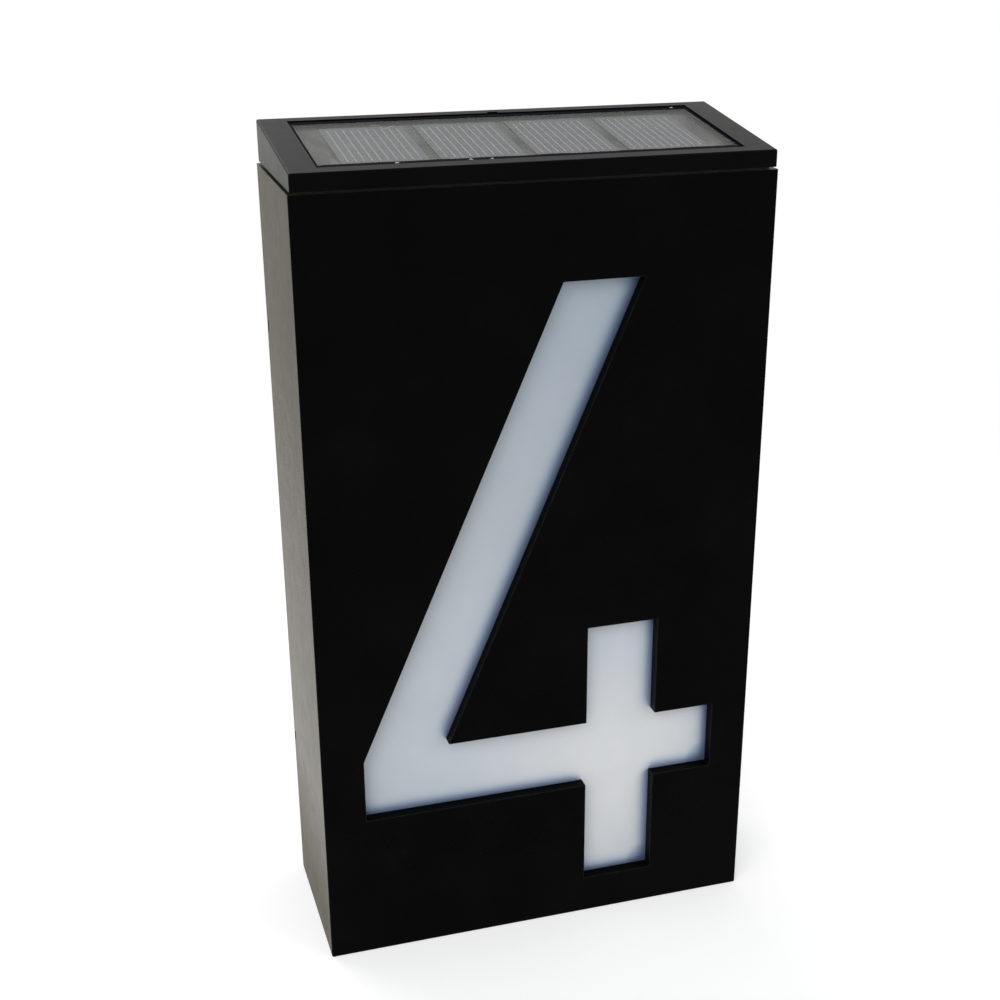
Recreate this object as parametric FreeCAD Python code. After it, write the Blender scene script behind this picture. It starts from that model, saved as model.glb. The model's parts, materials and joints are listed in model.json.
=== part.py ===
import FreeCAD, Part
import math
import os

from FreeCAD import Vector

# Solar house number sign: a moulded box with an open numeral in its front wall, an opal sheet
# behind the numeral, a lit tray, a rear cover with the battery bay, a sloped cap that holds the
# solar panel, and a steel plate that carries the sign on a wall.
# Millimetres. X runs to the right seen from the front, Y from the front to the wall, Z up.
# The origin is the middle of the footprint, on the surface that the sign stands on.

# ---------------------------------------------------------------- overall
WIDTH = 101.6
HEIGHT = 184.15
DEPTH = 40.64
EDGE_RADIUS = 0.4

# ---------------------------------------------------------------- housing
FRONT_WALL = 2.8
SIDE_WALL = 2.6
BOTTOM_WALL = 2.6
TOP_WALL = 2.6
LIP_WALL = 1.3                  # what the rebate for the rear cover leaves of the side walls
NOTCH_HEIGHT = 2.4              # pry notches in the rear edges of the side walls
NOTCH_DEPTH = 2.1
LOW_NOTCH_Z = 38.8
HIGH_NOTCH_DROP = 34.5          # below the housing's top
BOSS_RADIUS = 3.7               # the four corner bosses that take the rear cover's screws
BOSS_WEB = 0.3                  # gap that a short web bridges between boss and wall
PILOT_DEPTH = 12.0
RIB_COUNT = 4                   # on each side wall, beside the diffuser
RIB_THICKNESS = 1.5
RIB_HEIGHT = 6.5
LOW_RIB_Z = 28.0
HIGH_RIB_DROP = 45.2

# ---------------------------------------------------------------- the open numeral
NUMERAL_MARGIN_LEFT = 9.5       # margins to the housing's edges
NUMERAL_MARGIN_RIGHT = 8.7
NUMERAL_MARGIN_BOTTOM = 9.4
NUMERAL_MARGIN_TOP = 20.3
BAR_RISE = 25.8                 # crossbar above the numeral's foot
BAR_WIDTH = 16.6
STEM_WIDTH = 16.8
STEM_INSET = 14.5               # from the crossbar's right end
STEM_RISE = 24.2                # stem's short end above the crossbar
STROKE_WIDTH = 18.0             # slanting stroke, measured level
STROKE_SETBACK = 6.5            # top of the slanting stroke, left of the stem
STROKE_FOOT_DROP = 1.4          # where it meets the left end, below the crossbar's top edge
STROKE_FOOT_INSET = 19.5        # where its inner edge meets the crossbar, from the left end

# ---------------------------------------------------------------- diffuser and light tray
DIFFUSER_THICKNESS = 2.0
DIFFUSER_MARGIN_X = 3.5         # how far the sheet reaches past the numeral, each side
DIFFUSER_MARGIN_TOP = 5.1
DIFFUSER_MARGIN_BOTTOM = 3.8
DIFFUSER_FIT = 0.15
BOSS_CLEARANCE = 0.9
TRAY_WALL = 1.2
TRAY_FLOOR = 1.5
TRAY_DRAFT = 2.6                # how far the tray's walls lean in over their depth
POST_RADIUS = 3.0               # posts that carry the tray, margins to the diffuser's edges
POST_MARGIN_LEFT = 12.6
POST_MARGIN_RIGHT = 8.6
POST_MARGIN_BOTTOM = 14.4
POST_MARGIN_TOP = 20.0
POST_HOLE_FIT = 0.3

# ---------------------------------------------------------------- light board
LED_BOARD_WIDTH = 50.0
LED_BOARD_HEIGHT = 120.0
BOARD_THICKNESS = 1.2
LED_LENGTH = 3.5
LED_WIDTH = 2.8
LED_THICKNESS = 1.9
LED_WINDOW_FIT = 0.4
LED_SPACING_X = 26.0
LED_SPACING_Z = 40.0
LED_ROWS = 3
BOARD_SCREW_INSET = 5.0

# ---------------------------------------------------------------- screws
SCREW_RADIUS = 1.5              # cover and cap screws
SCREW_HEAD_RADIUS = 2.7
SCREW_HEAD_HEIGHT = 1.3
SMALL_SCREW_RADIUS = 0.95       # tray, board and door screws
SMALL_HEAD_RADIUS = 1.9
SMALL_HEAD_HEIGHT = 1.1
PILOT_FIT = 0.05                # radial room round a shank in its hole
HEAD_FIT = 0.3
COVER_SCREW_LENGTH = 9.0
CAP_SCREW_LENGTH = 5.4
TRAY_SCREW_LENGTH = 6.0
BOARD_SCREW_LENGTH = 4.0
CONTROL_SCREW_LENGTH = 5.0
DOOR_SCREW_LENGTH = 6.0

# ---------------------------------------------------------------- rear cover
COVER_THICKNESS = 2.4
COVER_FIT = 0.15
COVER_CORNER = 1.0
COVER_HEAD_SEAT = 1.0           # cover left under a screw head
SEAL_THICKNESS = 0.6
SEAL_WIDTH = 1.1
STIFFENER_INSET = 10.35         # from the cover's side edges
STIFFENER_GAP = 10.0            # above the battery door's frame
STIFFENER_DROP = 25.2           # below the housing's top
STIFFENER_DEPTH = 3.0
STIFFENER_THICKNESS = 1.4

# ---------------------------------------------------------------- battery bay and door
CELL_RADIUS = 7.1
CELL_LENGTH = 49.1
CELL_NUB_RADIUS = 2.75
CELL_NUB_LENGTH = 1.4
CELL_FIT = 0.2                  # under the cell, in its cradles
CELL_DOOR_ROOM = 0.4
CELL_SIDE_ROOM = 0.9
BAY_CENTRE_Z = 37.0
BAY_WALL = 1.3
BAY_CLEARANCE = 3.2             # between the light board and the bay
CRADLE_INSET = 11.0             # from the cell's ends
CRADLE_THICKNESS = 2.0
CONTACT_THICKNESS = 0.4
CONTACT_SIZE = 12.0
CONTACT_DIMPLE_RADIUS = 2.4
CONTACT_DIMPLE_HEIGHT = 1.2
CONTACT_TAB_WIDTH = 2.6
CONTACT_TAB_RISE = 1.4          # solder tab above the bay's top wall
SPRING_LENGTH = 7.5             # as the cell presses it
SPRING_WIRE = 0.9
SPRING_BIG_RADIUS = 4.8
SPRING_SMALL_RADIUS = 2.9
SPRING_TURNS = 3
DOOR_LAND_X = 8.0               # door past the bay, at its ends and along its sides
DOOR_LAND_Z = 4.5
DOOR_THICKNESS = 1.5
DOOR_FIT = 0.3
DOOR_CORNER = 2.0
DOOR_SEAL_THICKNESS = 0.5
DOOR_SEAL_WIDTH = 1.3
DOOR_SEAT_THICKNESS = 1.9
DOOR_SCREW_INSET = 4.0
DOOR_SCREW_BOSS = 2.6
DOOR_HEAD_RECESS = 0.5

# ---------------------------------------------------------------- control board
CONTROL_WIDTH = 48.0
CONTROL_HEIGHT = 20.0
CONTROL_RISE = 25.0             # its lower edge above the cell's axis
CONTROL_THICKNESS = 1.6
CONTROL_STANDOFF = 6.5
CONTROL_POST_RADIUS = 2.3
CONTROL_SCREW_INSET = 3.5
CHIP_SIZE = (5.0, 1.5, 3.9)     # along X, off the board, along Z
CHIP_PLACE = (-4.0, 10.0)       # places from the middle of the board's lower edge
COIL_RADIUS = 3.0
COIL_HEIGHT = 4.2
COIL_PLACE = (6.5, 8.0)
CAPACITOR_RADIUS = 2.5
CAPACITOR_HEIGHT = 7.0
CAPACITOR_PLACE = (-13.0, 8.0)
RESISTOR_SIZE = (2.0, 0.55, 1.25)
RESISTOR_PLACES = ((-5.0, 3.5), (-1.5, 3.5), (2.0, 16.0), (13.0, 4.0), (13.0, 8.0))

# ---------------------------------------------------------------- slide switch
SWITCH_PLACE = (13.0, 11.0)
SWITCH_LENGTH = 11.0
SWITCH_HEIGHT = 5.6
SWITCH_BODY_DEPTH = 5.0
SWITCH_WALL = 0.8
SWITCH_TRAVEL = 2.5
SLIDER_LENGTH = 5.0
SLIDER_DEPTH = 3.0
KNOB_LENGTH = 2.6
KNOB_HEIGHT = 2.6
KNOB_RECESS = 0.7               # knob's end below the cover's outer face
KNOB_GROOVES = 3
KNOB_GROOVE_WIDTH = 0.33
SLIDER_FIT = 0.1
WINDOW_FIT = 0.35
SWITCH_DISH_LENGTH = 13.0
SWITCH_DISH_HEIGHT = 8.0
SWITCH_DISH_DEPTH = 1.0

# ---------------------------------------------------------------- wall plate
PLATE_THICKNESS = 1.5
PLATE_GAP = 0.34                # between the plate and the cover
PLATE_WIDTH = 60.0
PLATE_RISE = 2.0                # its lower edge above the control board
PLATE_DROP = 7.2                # its upper edge below the housing's top
PLATE_CORNER = 4.0
PLATE_HOLE_RADIUS = 2.3
PLATE_HOLE_INSET = 7.0
HOOK_X = 20.0
LOW_HOOK_RISE = 19.0            # top of a hook's neck above the plate's lower edge
HIGH_HOOK_DROP = 21.0           # and below its upper edge
HOOK_WIDTH = 8.0
HOOK_TONGUE = 5.0
HOOK_BEND = 0.4
HOOK_GAP = 0.4                  # between tongue and cover
HOOK_WINDOW_TOP = 9.5           # lanced window above the neck
HOOK_WINDOW_FIT = 0.4
HOOK_REST_GAP = 0.15
PLATE_TRAVEL = 5.6              # how far the sign lifts before the hooks are free
POCKET_FIT = 0.8
POCKET_WALL = 1.2
HEAD_POCKET_RADIUS = 5.5        # room for the heads of the wall screws
HEAD_POCKET_DEPTH = 3.0
BUMPER_RADIUS = 4.5
BUMPER_INSET = 11.35            # from the cover's side edges
BUMPER_Z = 14.5

# ---------------------------------------------------------------- cap and solar panel
CAP_REAR_HEIGHT = 8.45          # from its underside to its rear top edge
CAP_RISE = 4.95                 # rear top edge above the front one
CAP_GAP = 0.5                   # shadow gap between the cap and the housing
CAP_INSET = 0.4                 # the cap's sides stand in from the housing's
CAP_WALL = 2.0
CAP_FLOOR = 1.4
CAP_RIM_FRONT = 3.1             # rim round the panel's recess, measured on the slope
CAP_RIM_REAR = 2.7
CAP_RIM_SIDE = 5.95
CAP_SEAL_INSET = 1.2
CAP_SEAL_WIDTH = 3.0
CAP_BOSS_RADIUS = 3.0
CAP_SCREW_X = 30.0
CAP_SCREW_FRONT = 16.3          # screws behind the front face
CAP_SCREW_REAR = 8.0            # and before the back
RIM_NOTCH_WIDTH = 2.4           # small notch in the middle of the rear rim
RIM_NOTCH_DEPTH = 0.7
PANEL_GAP = 0.55
PANEL_SUNK = 0.4                # panel's face below the rim
PANEL_RESIN = 0.7
PANEL_BOARD = 0.8
PANEL_TAPE = 0.5
TAPE_WIDTH = 9.0
CELL_COUNT = 4                  # solar cells side by side
CELL_MARGIN_X = 5.25
CELL_MARGIN_Y = 3.4
CELL_SPACE = 2.3
SOLAR_CELL_THICKNESS = 0.2
SOLAR_CELL_FIT = 0.05
FINGERS_PER_CELL = 10
FINGER_WIDTH = 0.22
FINGER_THICKNESS = 0.03
FINGER_MARGIN_X = 1.5
FINGER_MARGIN_Y = 1.8

# ---------------------------------------------------------------- leads
LEAD_RADIUS = 0.5
LEAD_SPACING = 1.5
LEAD_GAP = 0.2
LEAD_HOLE_X = -20.0
LEAD_HOLE_INSET = 10.5          # from the back
LEAD_HOLE_RADIUS = 2.6
LEAD_SLACK = 4.0                # how far the panel leads hang out of line
LEAD_LEVELS = (0.7, 0.3)        # their bends, as shares of the way up to the grommet
GROMMET_RADIUS = 3.4
GROMMET_FLANGE_RADIUS = 4.4
GROMMET_FLANGE = 0.8
GROMMET_BORE = 1.6
LED_LEAD_X = -6.0
LED_LEAD_RISE = 21.0            # above the control board
BATTERY_LEAD_X = 18.0

# ---------------------------------------------------------------- what follows from the sizes
HALF_WIDTH = WIDTH / 2
INNER_HALF = HALF_WIDTH - SIDE_WALL
SHELL_DEPTH = DEPTH - PLATE_THICKNESS - PLATE_GAP
FRONT_Y = -DEPTH / 2
BACK_Y = FRONT_Y + SHELL_DEPTH
WALL_Y = FRONT_Y + DEPTH
INNER_FRONT_Y = FRONT_Y + FRONT_WALL
CAP_BOTTOM_Z = HEIGHT - CAP_REAR_HEIGHT
HOUSING_HEIGHT = CAP_BOTTOM_Z - CAP_GAP
CEILING_Z = HOUSING_HEIGHT - TOP_WALL
NOTCH_LEVELS = (LOW_NOTCH_Z, HOUSING_HEIGHT - HIGH_NOTCH_DROP)
RIB_PITCH = (HOUSING_HEIGHT - HIGH_RIB_DROP - LOW_RIB_Z) / (RIB_COUNT - 1)
RIB_LEVELS = [LOW_RIB_Z + i * RIB_PITCH for i in range(RIB_COUNT)]

COVER_INNER_Y = BACK_Y - COVER_THICKNESS
REBATE_Y = COVER_INNER_Y - SEAL_THICKNESS
COVER_HALF = HALF_WIDTH - LIP_WALL - COVER_FIT
COVER_BOTTOM = LIP_WALL + COVER_FIT
COVER_TOP = HOUSING_HEIGHT - LIP_WALL - COVER_FIT
BOSS_X = INNER_HALF - BOSS_RADIUS - BOSS_WEB
BOSS_LOW_Z = BOTTOM_WALL + BOSS_RADIUS + BOSS_WEB
BOSS_HIGH_Z = CEILING_Z - BOSS_RADIUS - BOSS_WEB
COVER_SCREW_PLACES = [(x, z) for x in (-BOSS_X, BOSS_X) for z in (BOSS_LOW_Z, BOSS_HIGH_Z)]

NUMERAL_LEFT = -HALF_WIDTH + NUMERAL_MARGIN_LEFT
NUMERAL_RIGHT = HALF_WIDTH - NUMERAL_MARGIN_RIGHT
NUMERAL_TOP = HOUSING_HEIGHT - NUMERAL_MARGIN_TOP
BAR_BOTTOM = NUMERAL_MARGIN_BOTTOM + BAR_RISE
BAR_TOP = BAR_BOTTOM + BAR_WIDTH
STEM_RIGHT = NUMERAL_RIGHT - STEM_INSET
STEM_LEFT = STEM_RIGHT - STEM_WIDTH
STEM_TOP = BAR_TOP + STEM_RISE
STROKE_TOP_LEFT = STEM_LEFT - STROKE_SETBACK
NUMERAL_OUTLINE = (
    (STROKE_TOP_LEFT, NUMERAL_TOP),
    (STROKE_TOP_LEFT + STROKE_WIDTH, NUMERAL_TOP),
    (NUMERAL_LEFT + STROKE_FOOT_INSET, BAR_TOP),
    (STEM_LEFT, BAR_TOP),
    (STEM_LEFT, STEM_TOP),
    (STEM_RIGHT, STEM_TOP),
    (STEM_RIGHT, BAR_TOP),
    (NUMERAL_RIGHT, BAR_TOP),
    (NUMERAL_RIGHT, BAR_BOTTOM),
    (STEM_RIGHT, BAR_BOTTOM),
    (STEM_RIGHT, NUMERAL_MARGIN_BOTTOM),
    (STEM_LEFT, NUMERAL_MARGIN_BOTTOM),
    (STEM_LEFT, BAR_BOTTOM),
    (NUMERAL_LEFT, BAR_BOTTOM),
    (NUMERAL_LEFT, BAR_TOP - STROKE_FOOT_DROP),
)

DIFFUSER_HALF = max(-NUMERAL_LEFT, NUMERAL_RIGHT) + DIFFUSER_MARGIN_X
DIFFUSER_TOP = NUMERAL_TOP + DIFFUSER_MARGIN_TOP
DIFFUSER_BOTTOM = NUMERAL_MARGIN_BOTTOM - DIFFUSER_MARGIN_BOTTOM
CORNER_X = BOSS_X - BOSS_RADIUS - BOSS_CLEARANCE
CORNER_Z = BOSS_LOW_Z + BOSS_RADIUS + BOSS_CLEARANCE
POST_PLACES = [
    (x, z)
    for x in (-DIFFUSER_HALF + POST_MARGIN_LEFT, DIFFUSER_HALF - POST_MARGIN_RIGHT)
    for z in (DIFFUSER_BOTTOM + POST_MARGIN_BOTTOM, DIFFUSER_TOP - POST_MARGIN_TOP)
]
LED_BOARD_X = (POST_MARGIN_LEFT - POST_MARGIN_RIGHT) / 2
LED_BOARD_Z = (DIFFUSER_TOP + DIFFUSER_BOTTOM) / 2

BAY_LENGTH = 2 * CONTACT_THICKNESS + SPRING_LENGTH + CELL_LENGTH + CELL_NUB_LENGTH + CONTACT_DIMPLE_HEIGHT
BAY_HEIGHT = 2 * (CELL_RADIUS + CELL_SIDE_ROOM)
BAY_DEPTH = CELL_FIT + 2 * CELL_RADIUS + CELL_DOOR_ROOM
BAY_HALF = BAY_LENGTH / 2
BAY_LOW = BAY_CENTRE_Z - BAY_HEIGHT / 2
BAY_HIGH = BAY_CENTRE_Z + BAY_HEIGHT / 2
CELL_LEFT = -BAY_HALF + CONTACT_THICKNESS + SPRING_LENGTH
DOOR_LENGTH = BAY_LENGTH + 2 * DOOR_LAND_X
DOOR_HEIGHT = BAY_HEIGHT + 2 * DOOR_LAND_Z
DOOR_FRAME_TOP = BAY_CENTRE_Z + DOOR_HEIGHT / 2 + DOOR_FIT + BAY_WALL
DOOR_SCREW_X = DOOR_LENGTH / 2 - DOOR_SCREW_INSET
SEAT_Y = BACK_Y - DOOR_THICKNESS - DOOR_SEAL_THICKNESS
BAY_FLOOR_Y = SEAT_Y - BAY_DEPTH
CELL_Y = BAY_FLOOR_Y + CELL_FIT + CELL_RADIUS

LED_BOARD_BACK_Y = BAY_FLOOR_Y - BAY_WALL - BAY_CLEARANCE
TRAY_BACK_Y = LED_BOARD_BACK_Y - BOARD_THICKNESS
TRAY_FLOOR_Y = TRAY_BACK_Y - TRAY_FLOOR
DIFFUSER_BACK_Y = INNER_FRONT_Y + DIFFUSER_THICKNESS
TRAY_DEPTH = TRAY_FLOOR_Y - DIFFUSER_BACK_Y

STIFFENER_X = COVER_HALF - STIFFENER_INSET
STIFFENER_RANGE = (DOOR_FRAME_TOP + STIFFENER_GAP, HOUSING_HEIGHT - STIFFENER_DROP)
CONTROL_BOTTOM = BAY_CENTRE_Z + CONTROL_RISE
CONTROL_TOP = CONTROL_BOTTOM + CONTROL_HEIGHT
CONTROL_BACK_Y = COVER_INNER_Y - CONTROL_STANDOFF
CONTROL_FRONT_Y = CONTROL_BACK_Y - CONTROL_THICKNESS
CONTROL_MIDDLE_Y = (CONTROL_BACK_Y + CONTROL_FRONT_Y) / 2
CONTROL_SCREW_PLACES = (
    (-CONTROL_WIDTH / 2 + CONTROL_SCREW_INSET, CONTROL_BOTTOM + CONTROL_SCREW_INSET),
    (CONTROL_WIDTH / 2 - CONTROL_SCREW_INSET, CONTROL_TOP - CONTROL_SCREW_INSET),
)
CONTACT_TAB_TOP = BAY_HIGH + BAY_WALL + CONTACT_TAB_RISE

PLATE_FRONT_Y = WALL_Y - PLATE_THICKNESS
PLATE_BOTTOM = CONTROL_TOP + PLATE_RISE
PLATE_TOP = HOUSING_HEIGHT - PLATE_DROP
PLATE_HOLES_Z = (PLATE_BOTTOM + PLATE_HOLE_INSET, PLATE_TOP - PLATE_HOLE_INSET)
HOOK_LEVELS = (PLATE_BOTTOM + LOW_HOOK_RISE, PLATE_TOP - HIGH_HOOK_DROP)
TONGUE_BACK_Y = COVER_INNER_Y - HOOK_GAP
TONGUE_FRONT_Y = TONGUE_BACK_Y - PLATE_THICKNESS
BUMPER_X = COVER_HALF - BUMPER_INSET

CAP_HALF = HALF_WIDTH - CAP_INSET
CAP_FRONT_TOP = HEIGHT - CAP_RISE
BARE_SLOPE = math.atan2(CAP_RISE, SHELL_DEPTH)
# the rear top edge stands a little higher before it is rounded, so that the round ends at HEIGHT
CAP_REAR_TOP = HEIGHT + EDGE_RADIUS * (math.tan(BARE_SLOPE) + 1 / math.cos(BARE_SLOPE) - 1)
SLOPE = math.atan2(CAP_REAR_TOP - CAP_FRONT_TOP, SHELL_DEPTH)
CAP_SCREW_PLACES = [
    (x, y)
    for x in (-CAP_SCREW_X, CAP_SCREW_X)
    for y in (FRONT_Y + CAP_SCREW_FRONT, BACK_Y - CAP_SCREW_REAR)
]
RECESS_DEPTH = PANEL_SUNK + PANEL_RESIN + PANEL_BOARD + PANEL_TAPE
RECESS_WIDTH = 2 * (CAP_HALF - CAP_RIM_SIDE)
RECESS_LENGTH = SHELL_DEPTH / math.cos(SLOPE) - CAP_RIM_FRONT - CAP_RIM_REAR
PANEL_WIDTH = RECESS_WIDTH - 2 * PANEL_GAP
PANEL_LENGTH = RECESS_LENGTH - 2 * PANEL_GAP
SOLAR_CELL_WIDTH = (PANEL_WIDTH - 2 * CELL_MARGIN_X - (CELL_COUNT - 1) * CELL_SPACE) / CELL_COUNT
SOLAR_CELL_LENGTH = PANEL_LENGTH - 2 * CELL_MARGIN_Y
FINGER_PITCH = (SOLAR_CELL_WIDTH - 2 * FINGER_MARGIN_X) / (FINGERS_PER_CELL - 1)
FINGER_LENGTH = SOLAR_CELL_LENGTH - 2 * FINGER_MARGIN_Y
LEAD_HOLE_Y = BACK_Y - LEAD_HOLE_INSET


# ---------------------------------------------------------------- small helpers
def block(x0, x1, y0, y1, z0, z1):
    return Part.makeBox(x1 - x0, y1 - y0, z1 - z0, Vector(x0, y0, z0))


def rod_y(radius, y0, y1, x, z):
    return Part.makeCylinder(radius, y1 - y0, Vector(x, y0, z), Vector(0, 1, 0))


def rod_z(radius, z0, z1, x, y):
    return Part.makeCylinder(radius, z1 - z0, Vector(x, y, z0), Vector(0, 0, 1))


def rod_x(radius, x0, x1, y, z):
    return Part.makeCylinder(radius, x1 - x0, Vector(x0, y, z), Vector(1, 0, 0))


def fuse(shapes):
    whole = shapes[0]
    if len(shapes) > 1:
        whole = whole.fuse(shapes[1:])
    return whole.removeSplitter()


def cut(shape, tools):
    return shape.cut(tools).removeSplitter()


def rounded_edges(shape, radius, wanted):
    return shape.makeFillet(radius, [e for e in shape.Edges if wanted(e)])


def bevelled_edges(shape, size, wanted):
    return shape.makeChamfer(size, [e for e in shape.Edges if wanted(e)])


def slab(x0, x1, z0, z1, y0, y1, corner):
    """An upright plate whose four edges along Y are rounded."""
    body = block(x0, x1, y0, y1, z0, z1)
    return rounded_edges(body, corner, lambda e: abs(e.tangentAt(e.FirstParameter).y) > 0.99)


def ring(x0, x1, z0, z1, y0, y1, corner, width):
    """An upright rectangular ring of the given width."""
    outer = slab(x0, x1, z0, z1, y0, y1, corner)
    return cut(outer, [block(x0 + width, x1 - width, y0, y1, z0 + width, z1 - width)])


def obround_y(radius, y0, y1, x, z_low, z_high):
    """A round-ended prism along Y, drawn out along Z."""
    ends = [rod_y(radius, y0, y1, x, z_low), rod_y(radius, y0, y1, x, z_high)]
    return fuse([block(x - radius, x + radius, y0, y1, z_low, z_high)] + ends)


def polygon_prism(points, y0, y1):
    """A prism along Y from an outline in X and Z."""
    corners = [Vector(x, y0, z) for x, z in points]
    face = Part.Face(Part.makePolygon(corners + corners[:1]))
    return face.extrude(Vector(0, y1 - y0, 0))


def side_profile(points, x0, x1):
    """A prism along X from an outline in Y and Z."""
    corners = [Vector(x0, y, z) for y, z in points]
    face = Part.Face(Part.makePolygon(corners + corners[:1]))
    return face.extrude(Vector(x1 - x0, 0, 0))


def on_slope(shape):
    """Sets a shape drawn flat, with its top at z = 0 and y up the slope, onto the cap's face."""
    placed = shape.copy()
    turn = FreeCAD.Rotation(Vector(1, 0, 0), math.degrees(SLOPE))
    placed.Placement = FreeCAD.Placement(Vector(0, FRONT_Y, CAP_FRONT_TOP), turn)
    return placed


def pan_screw(head_radius, head_height, shank_radius, length):
    """A pan-head screw with a cross recess, its head above z = 0 and its shank below."""
    head = Part.makeCylinder(head_radius, head_height)
    head = bevelled_edges(head, head_height * 0.4, lambda e: e.BoundBox.ZMin > head_height / 2)
    shank = Part.makeCylinder(shank_radius, length, Vector(0, 0, -length))
    arm = head_radius * 0.55
    half = head_radius * 0.11
    floor = head_height * 0.45
    bars = [
        block(-arm, arm, -half, half, floor, head_height),
        block(-half, half, -arm, arm, floor, head_height),
    ]
    return cut(fuse([head, shank]), bars)


def aimed(shape, direction, place):
    """Turns a shape from +Z to a direction and moves it to a place."""
    turned = shape.copy()
    turn = FreeCAD.Rotation(Vector(0, 0, 1), Vector(*direction))
    turned.Placement = FreeCAD.Placement(Vector(*place), turn)
    return turned


def screws(places, direction, kind):
    return Part.makeCompound([aimed(pan_screw(*kind), direction, place) for place in places])


# ---------------------------------------------------------------- housing
def numeral_cut():
    return polygon_prism(NUMERAL_OUTLINE, FRONT_Y, INNER_FRONT_Y)


def housing():
    outer = block(-HALF_WIDTH, HALF_WIDTH, FRONT_Y, BACK_Y, 0, HOUSING_HEIGHT)

    def outside(e):
        box = e.BoundBox
        return box.YMax < BACK_Y + 1e-6 and box.YMin < FRONT_Y + 1e-6 and box.ZMin < 1e-6

    outer = rounded_edges(outer, EDGE_RADIUS, outside)
    cavity = block(-INNER_HALF, INNER_HALF, INNER_FRONT_Y, BACK_Y, BOTTOM_WALL, CEILING_Z)
    rebate_half = HALF_WIDTH - LIP_WALL
    rebate = slab(
        -rebate_half, rebate_half, LIP_WALL, HOUSING_HEIGHT - LIP_WALL, REBATE_Y, BACK_Y, COVER_CORNER
    )
    body = cut(outer, [cavity, rebate, numeral_cut()])

    added = []
    for x, z in COVER_SCREW_PLACES:
        side = math.copysign(1, x)
        edge_x = side * INNER_HALF
        edge_z = BOTTOM_WALL if z < HOUSING_HEIGHT / 2 else CEILING_Z
        added.append(rod_y(BOSS_RADIUS, INNER_FRONT_Y, COVER_INNER_Y, x, z))
        low_x, high_x = sorted((x, edge_x))
        low_z, high_z = sorted((z, edge_z))
        half_web = RIB_THICKNESS / 2
        added.append(block(low_x, high_x, INNER_FRONT_Y, REBATE_Y, z - half_web, z + half_web))
        added.append(block(x - half_web, x + half_web, INNER_FRONT_Y, REBATE_Y, low_z, high_z))
    rib_half = DIFFUSER_HALF + DIFFUSER_FIT
    for side in (-1, 1):
        for z in RIB_LEVELS:
            low_x, high_x = sorted((side * rib_half, side * INNER_HALF))
            added.append(
                block(low_x, high_x, INNER_FRONT_Y, INNER_FRONT_Y + RIB_HEIGHT, z, z + RIB_THICKNESS)
            )
    for x, z in POST_PLACES:
        added.append(rod_y(POST_RADIUS, INNER_FRONT_Y, TRAY_FLOOR_Y, x, z))
    body = fuse([body] + added)

    holes = []
    for x, z in COVER_SCREW_PLACES:
        pilot = SCREW_RADIUS + PILOT_FIT
        holes.append(rod_y(pilot, COVER_INNER_Y - PILOT_DEPTH, COVER_INNER_Y, x, z))
    for x, z in POST_PLACES:
        pilot = SMALL_SCREW_RADIUS + PILOT_FIT
        holes.append(rod_y(pilot, TRAY_BACK_Y - TRAY_SCREW_LENGTH, TRAY_FLOOR_Y, x, z))
    for x, y in CAP_SCREW_PLACES:
        holes.append(rod_z(SCREW_RADIUS + PILOT_FIT, CEILING_Z, HOUSING_HEIGHT, x, y))
    holes.append(rod_z(GROMMET_RADIUS, CEILING_Z, HOUSING_HEIGHT, LEAD_HOLE_X, LEAD_HOLE_Y))
    for side in (-1, 1):
        for z in NOTCH_LEVELS:
            low_x, high_x = sorted((side * rebate_half, side * HALF_WIDTH))
            holes.append(
                block(
                    low_x, high_x, BACK_Y - NOTCH_DEPTH, BACK_Y, z - NOTCH_HEIGHT / 2, z + NOTCH_HEIGHT / 2
                )
            )
    return cut(body, holes)


# ---------------------------------------------------------------- diffuser and light tray
def sheet_outline(y, inset):
    """The sheet's outline with its two lower corners cut out round the bosses."""
    half = DIFFUSER_HALF - inset
    low = DIFFUSER_BOTTOM + inset
    high = DIFFUSER_TOP - inset
    corner_x = CORNER_X - inset
    corner_z = CORNER_Z + inset
    right = [(half, high), (half, corner_z), (corner_x, corner_z), (corner_x, low)]
    left = [(-x, z) for x, z in reversed(right)]
    corners = [Vector(x, y, z) for x, z in right + left]
    return Part.makePolygon(corners + corners[:1])


def diffuser():
    sheet = Part.Face(sheet_outline(INNER_FRONT_Y, 0)).extrude(Vector(0, DIFFUSER_THICKNESS, 0))
    holes = [
        rod_y(POST_RADIUS + POST_HOLE_FIT, INNER_FRONT_Y, DIFFUSER_BACK_Y, x, z) for x, z in POST_PLACES
    ]
    return cut(sheet, holes)


def led_places():
    rows = [LED_BOARD_Z + (i - (LED_ROWS - 1) / 2) * LED_SPACING_Z for i in range(LED_ROWS)]
    return [(LED_BOARD_X + side * LED_SPACING_X / 2, z) for side in (-1, 1) for z in rows]


def board_screw_places():
    dx = LED_BOARD_WIDTH / 2 - BOARD_SCREW_INSET
    dz = LED_BOARD_HEIGHT / 2 - BOARD_SCREW_INSET
    return [(LED_BOARD_X + sx * dx, LED_BOARD_Z + sz * dz) for sx in (-1, 1) for sz in (-1, 1)]


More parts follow.
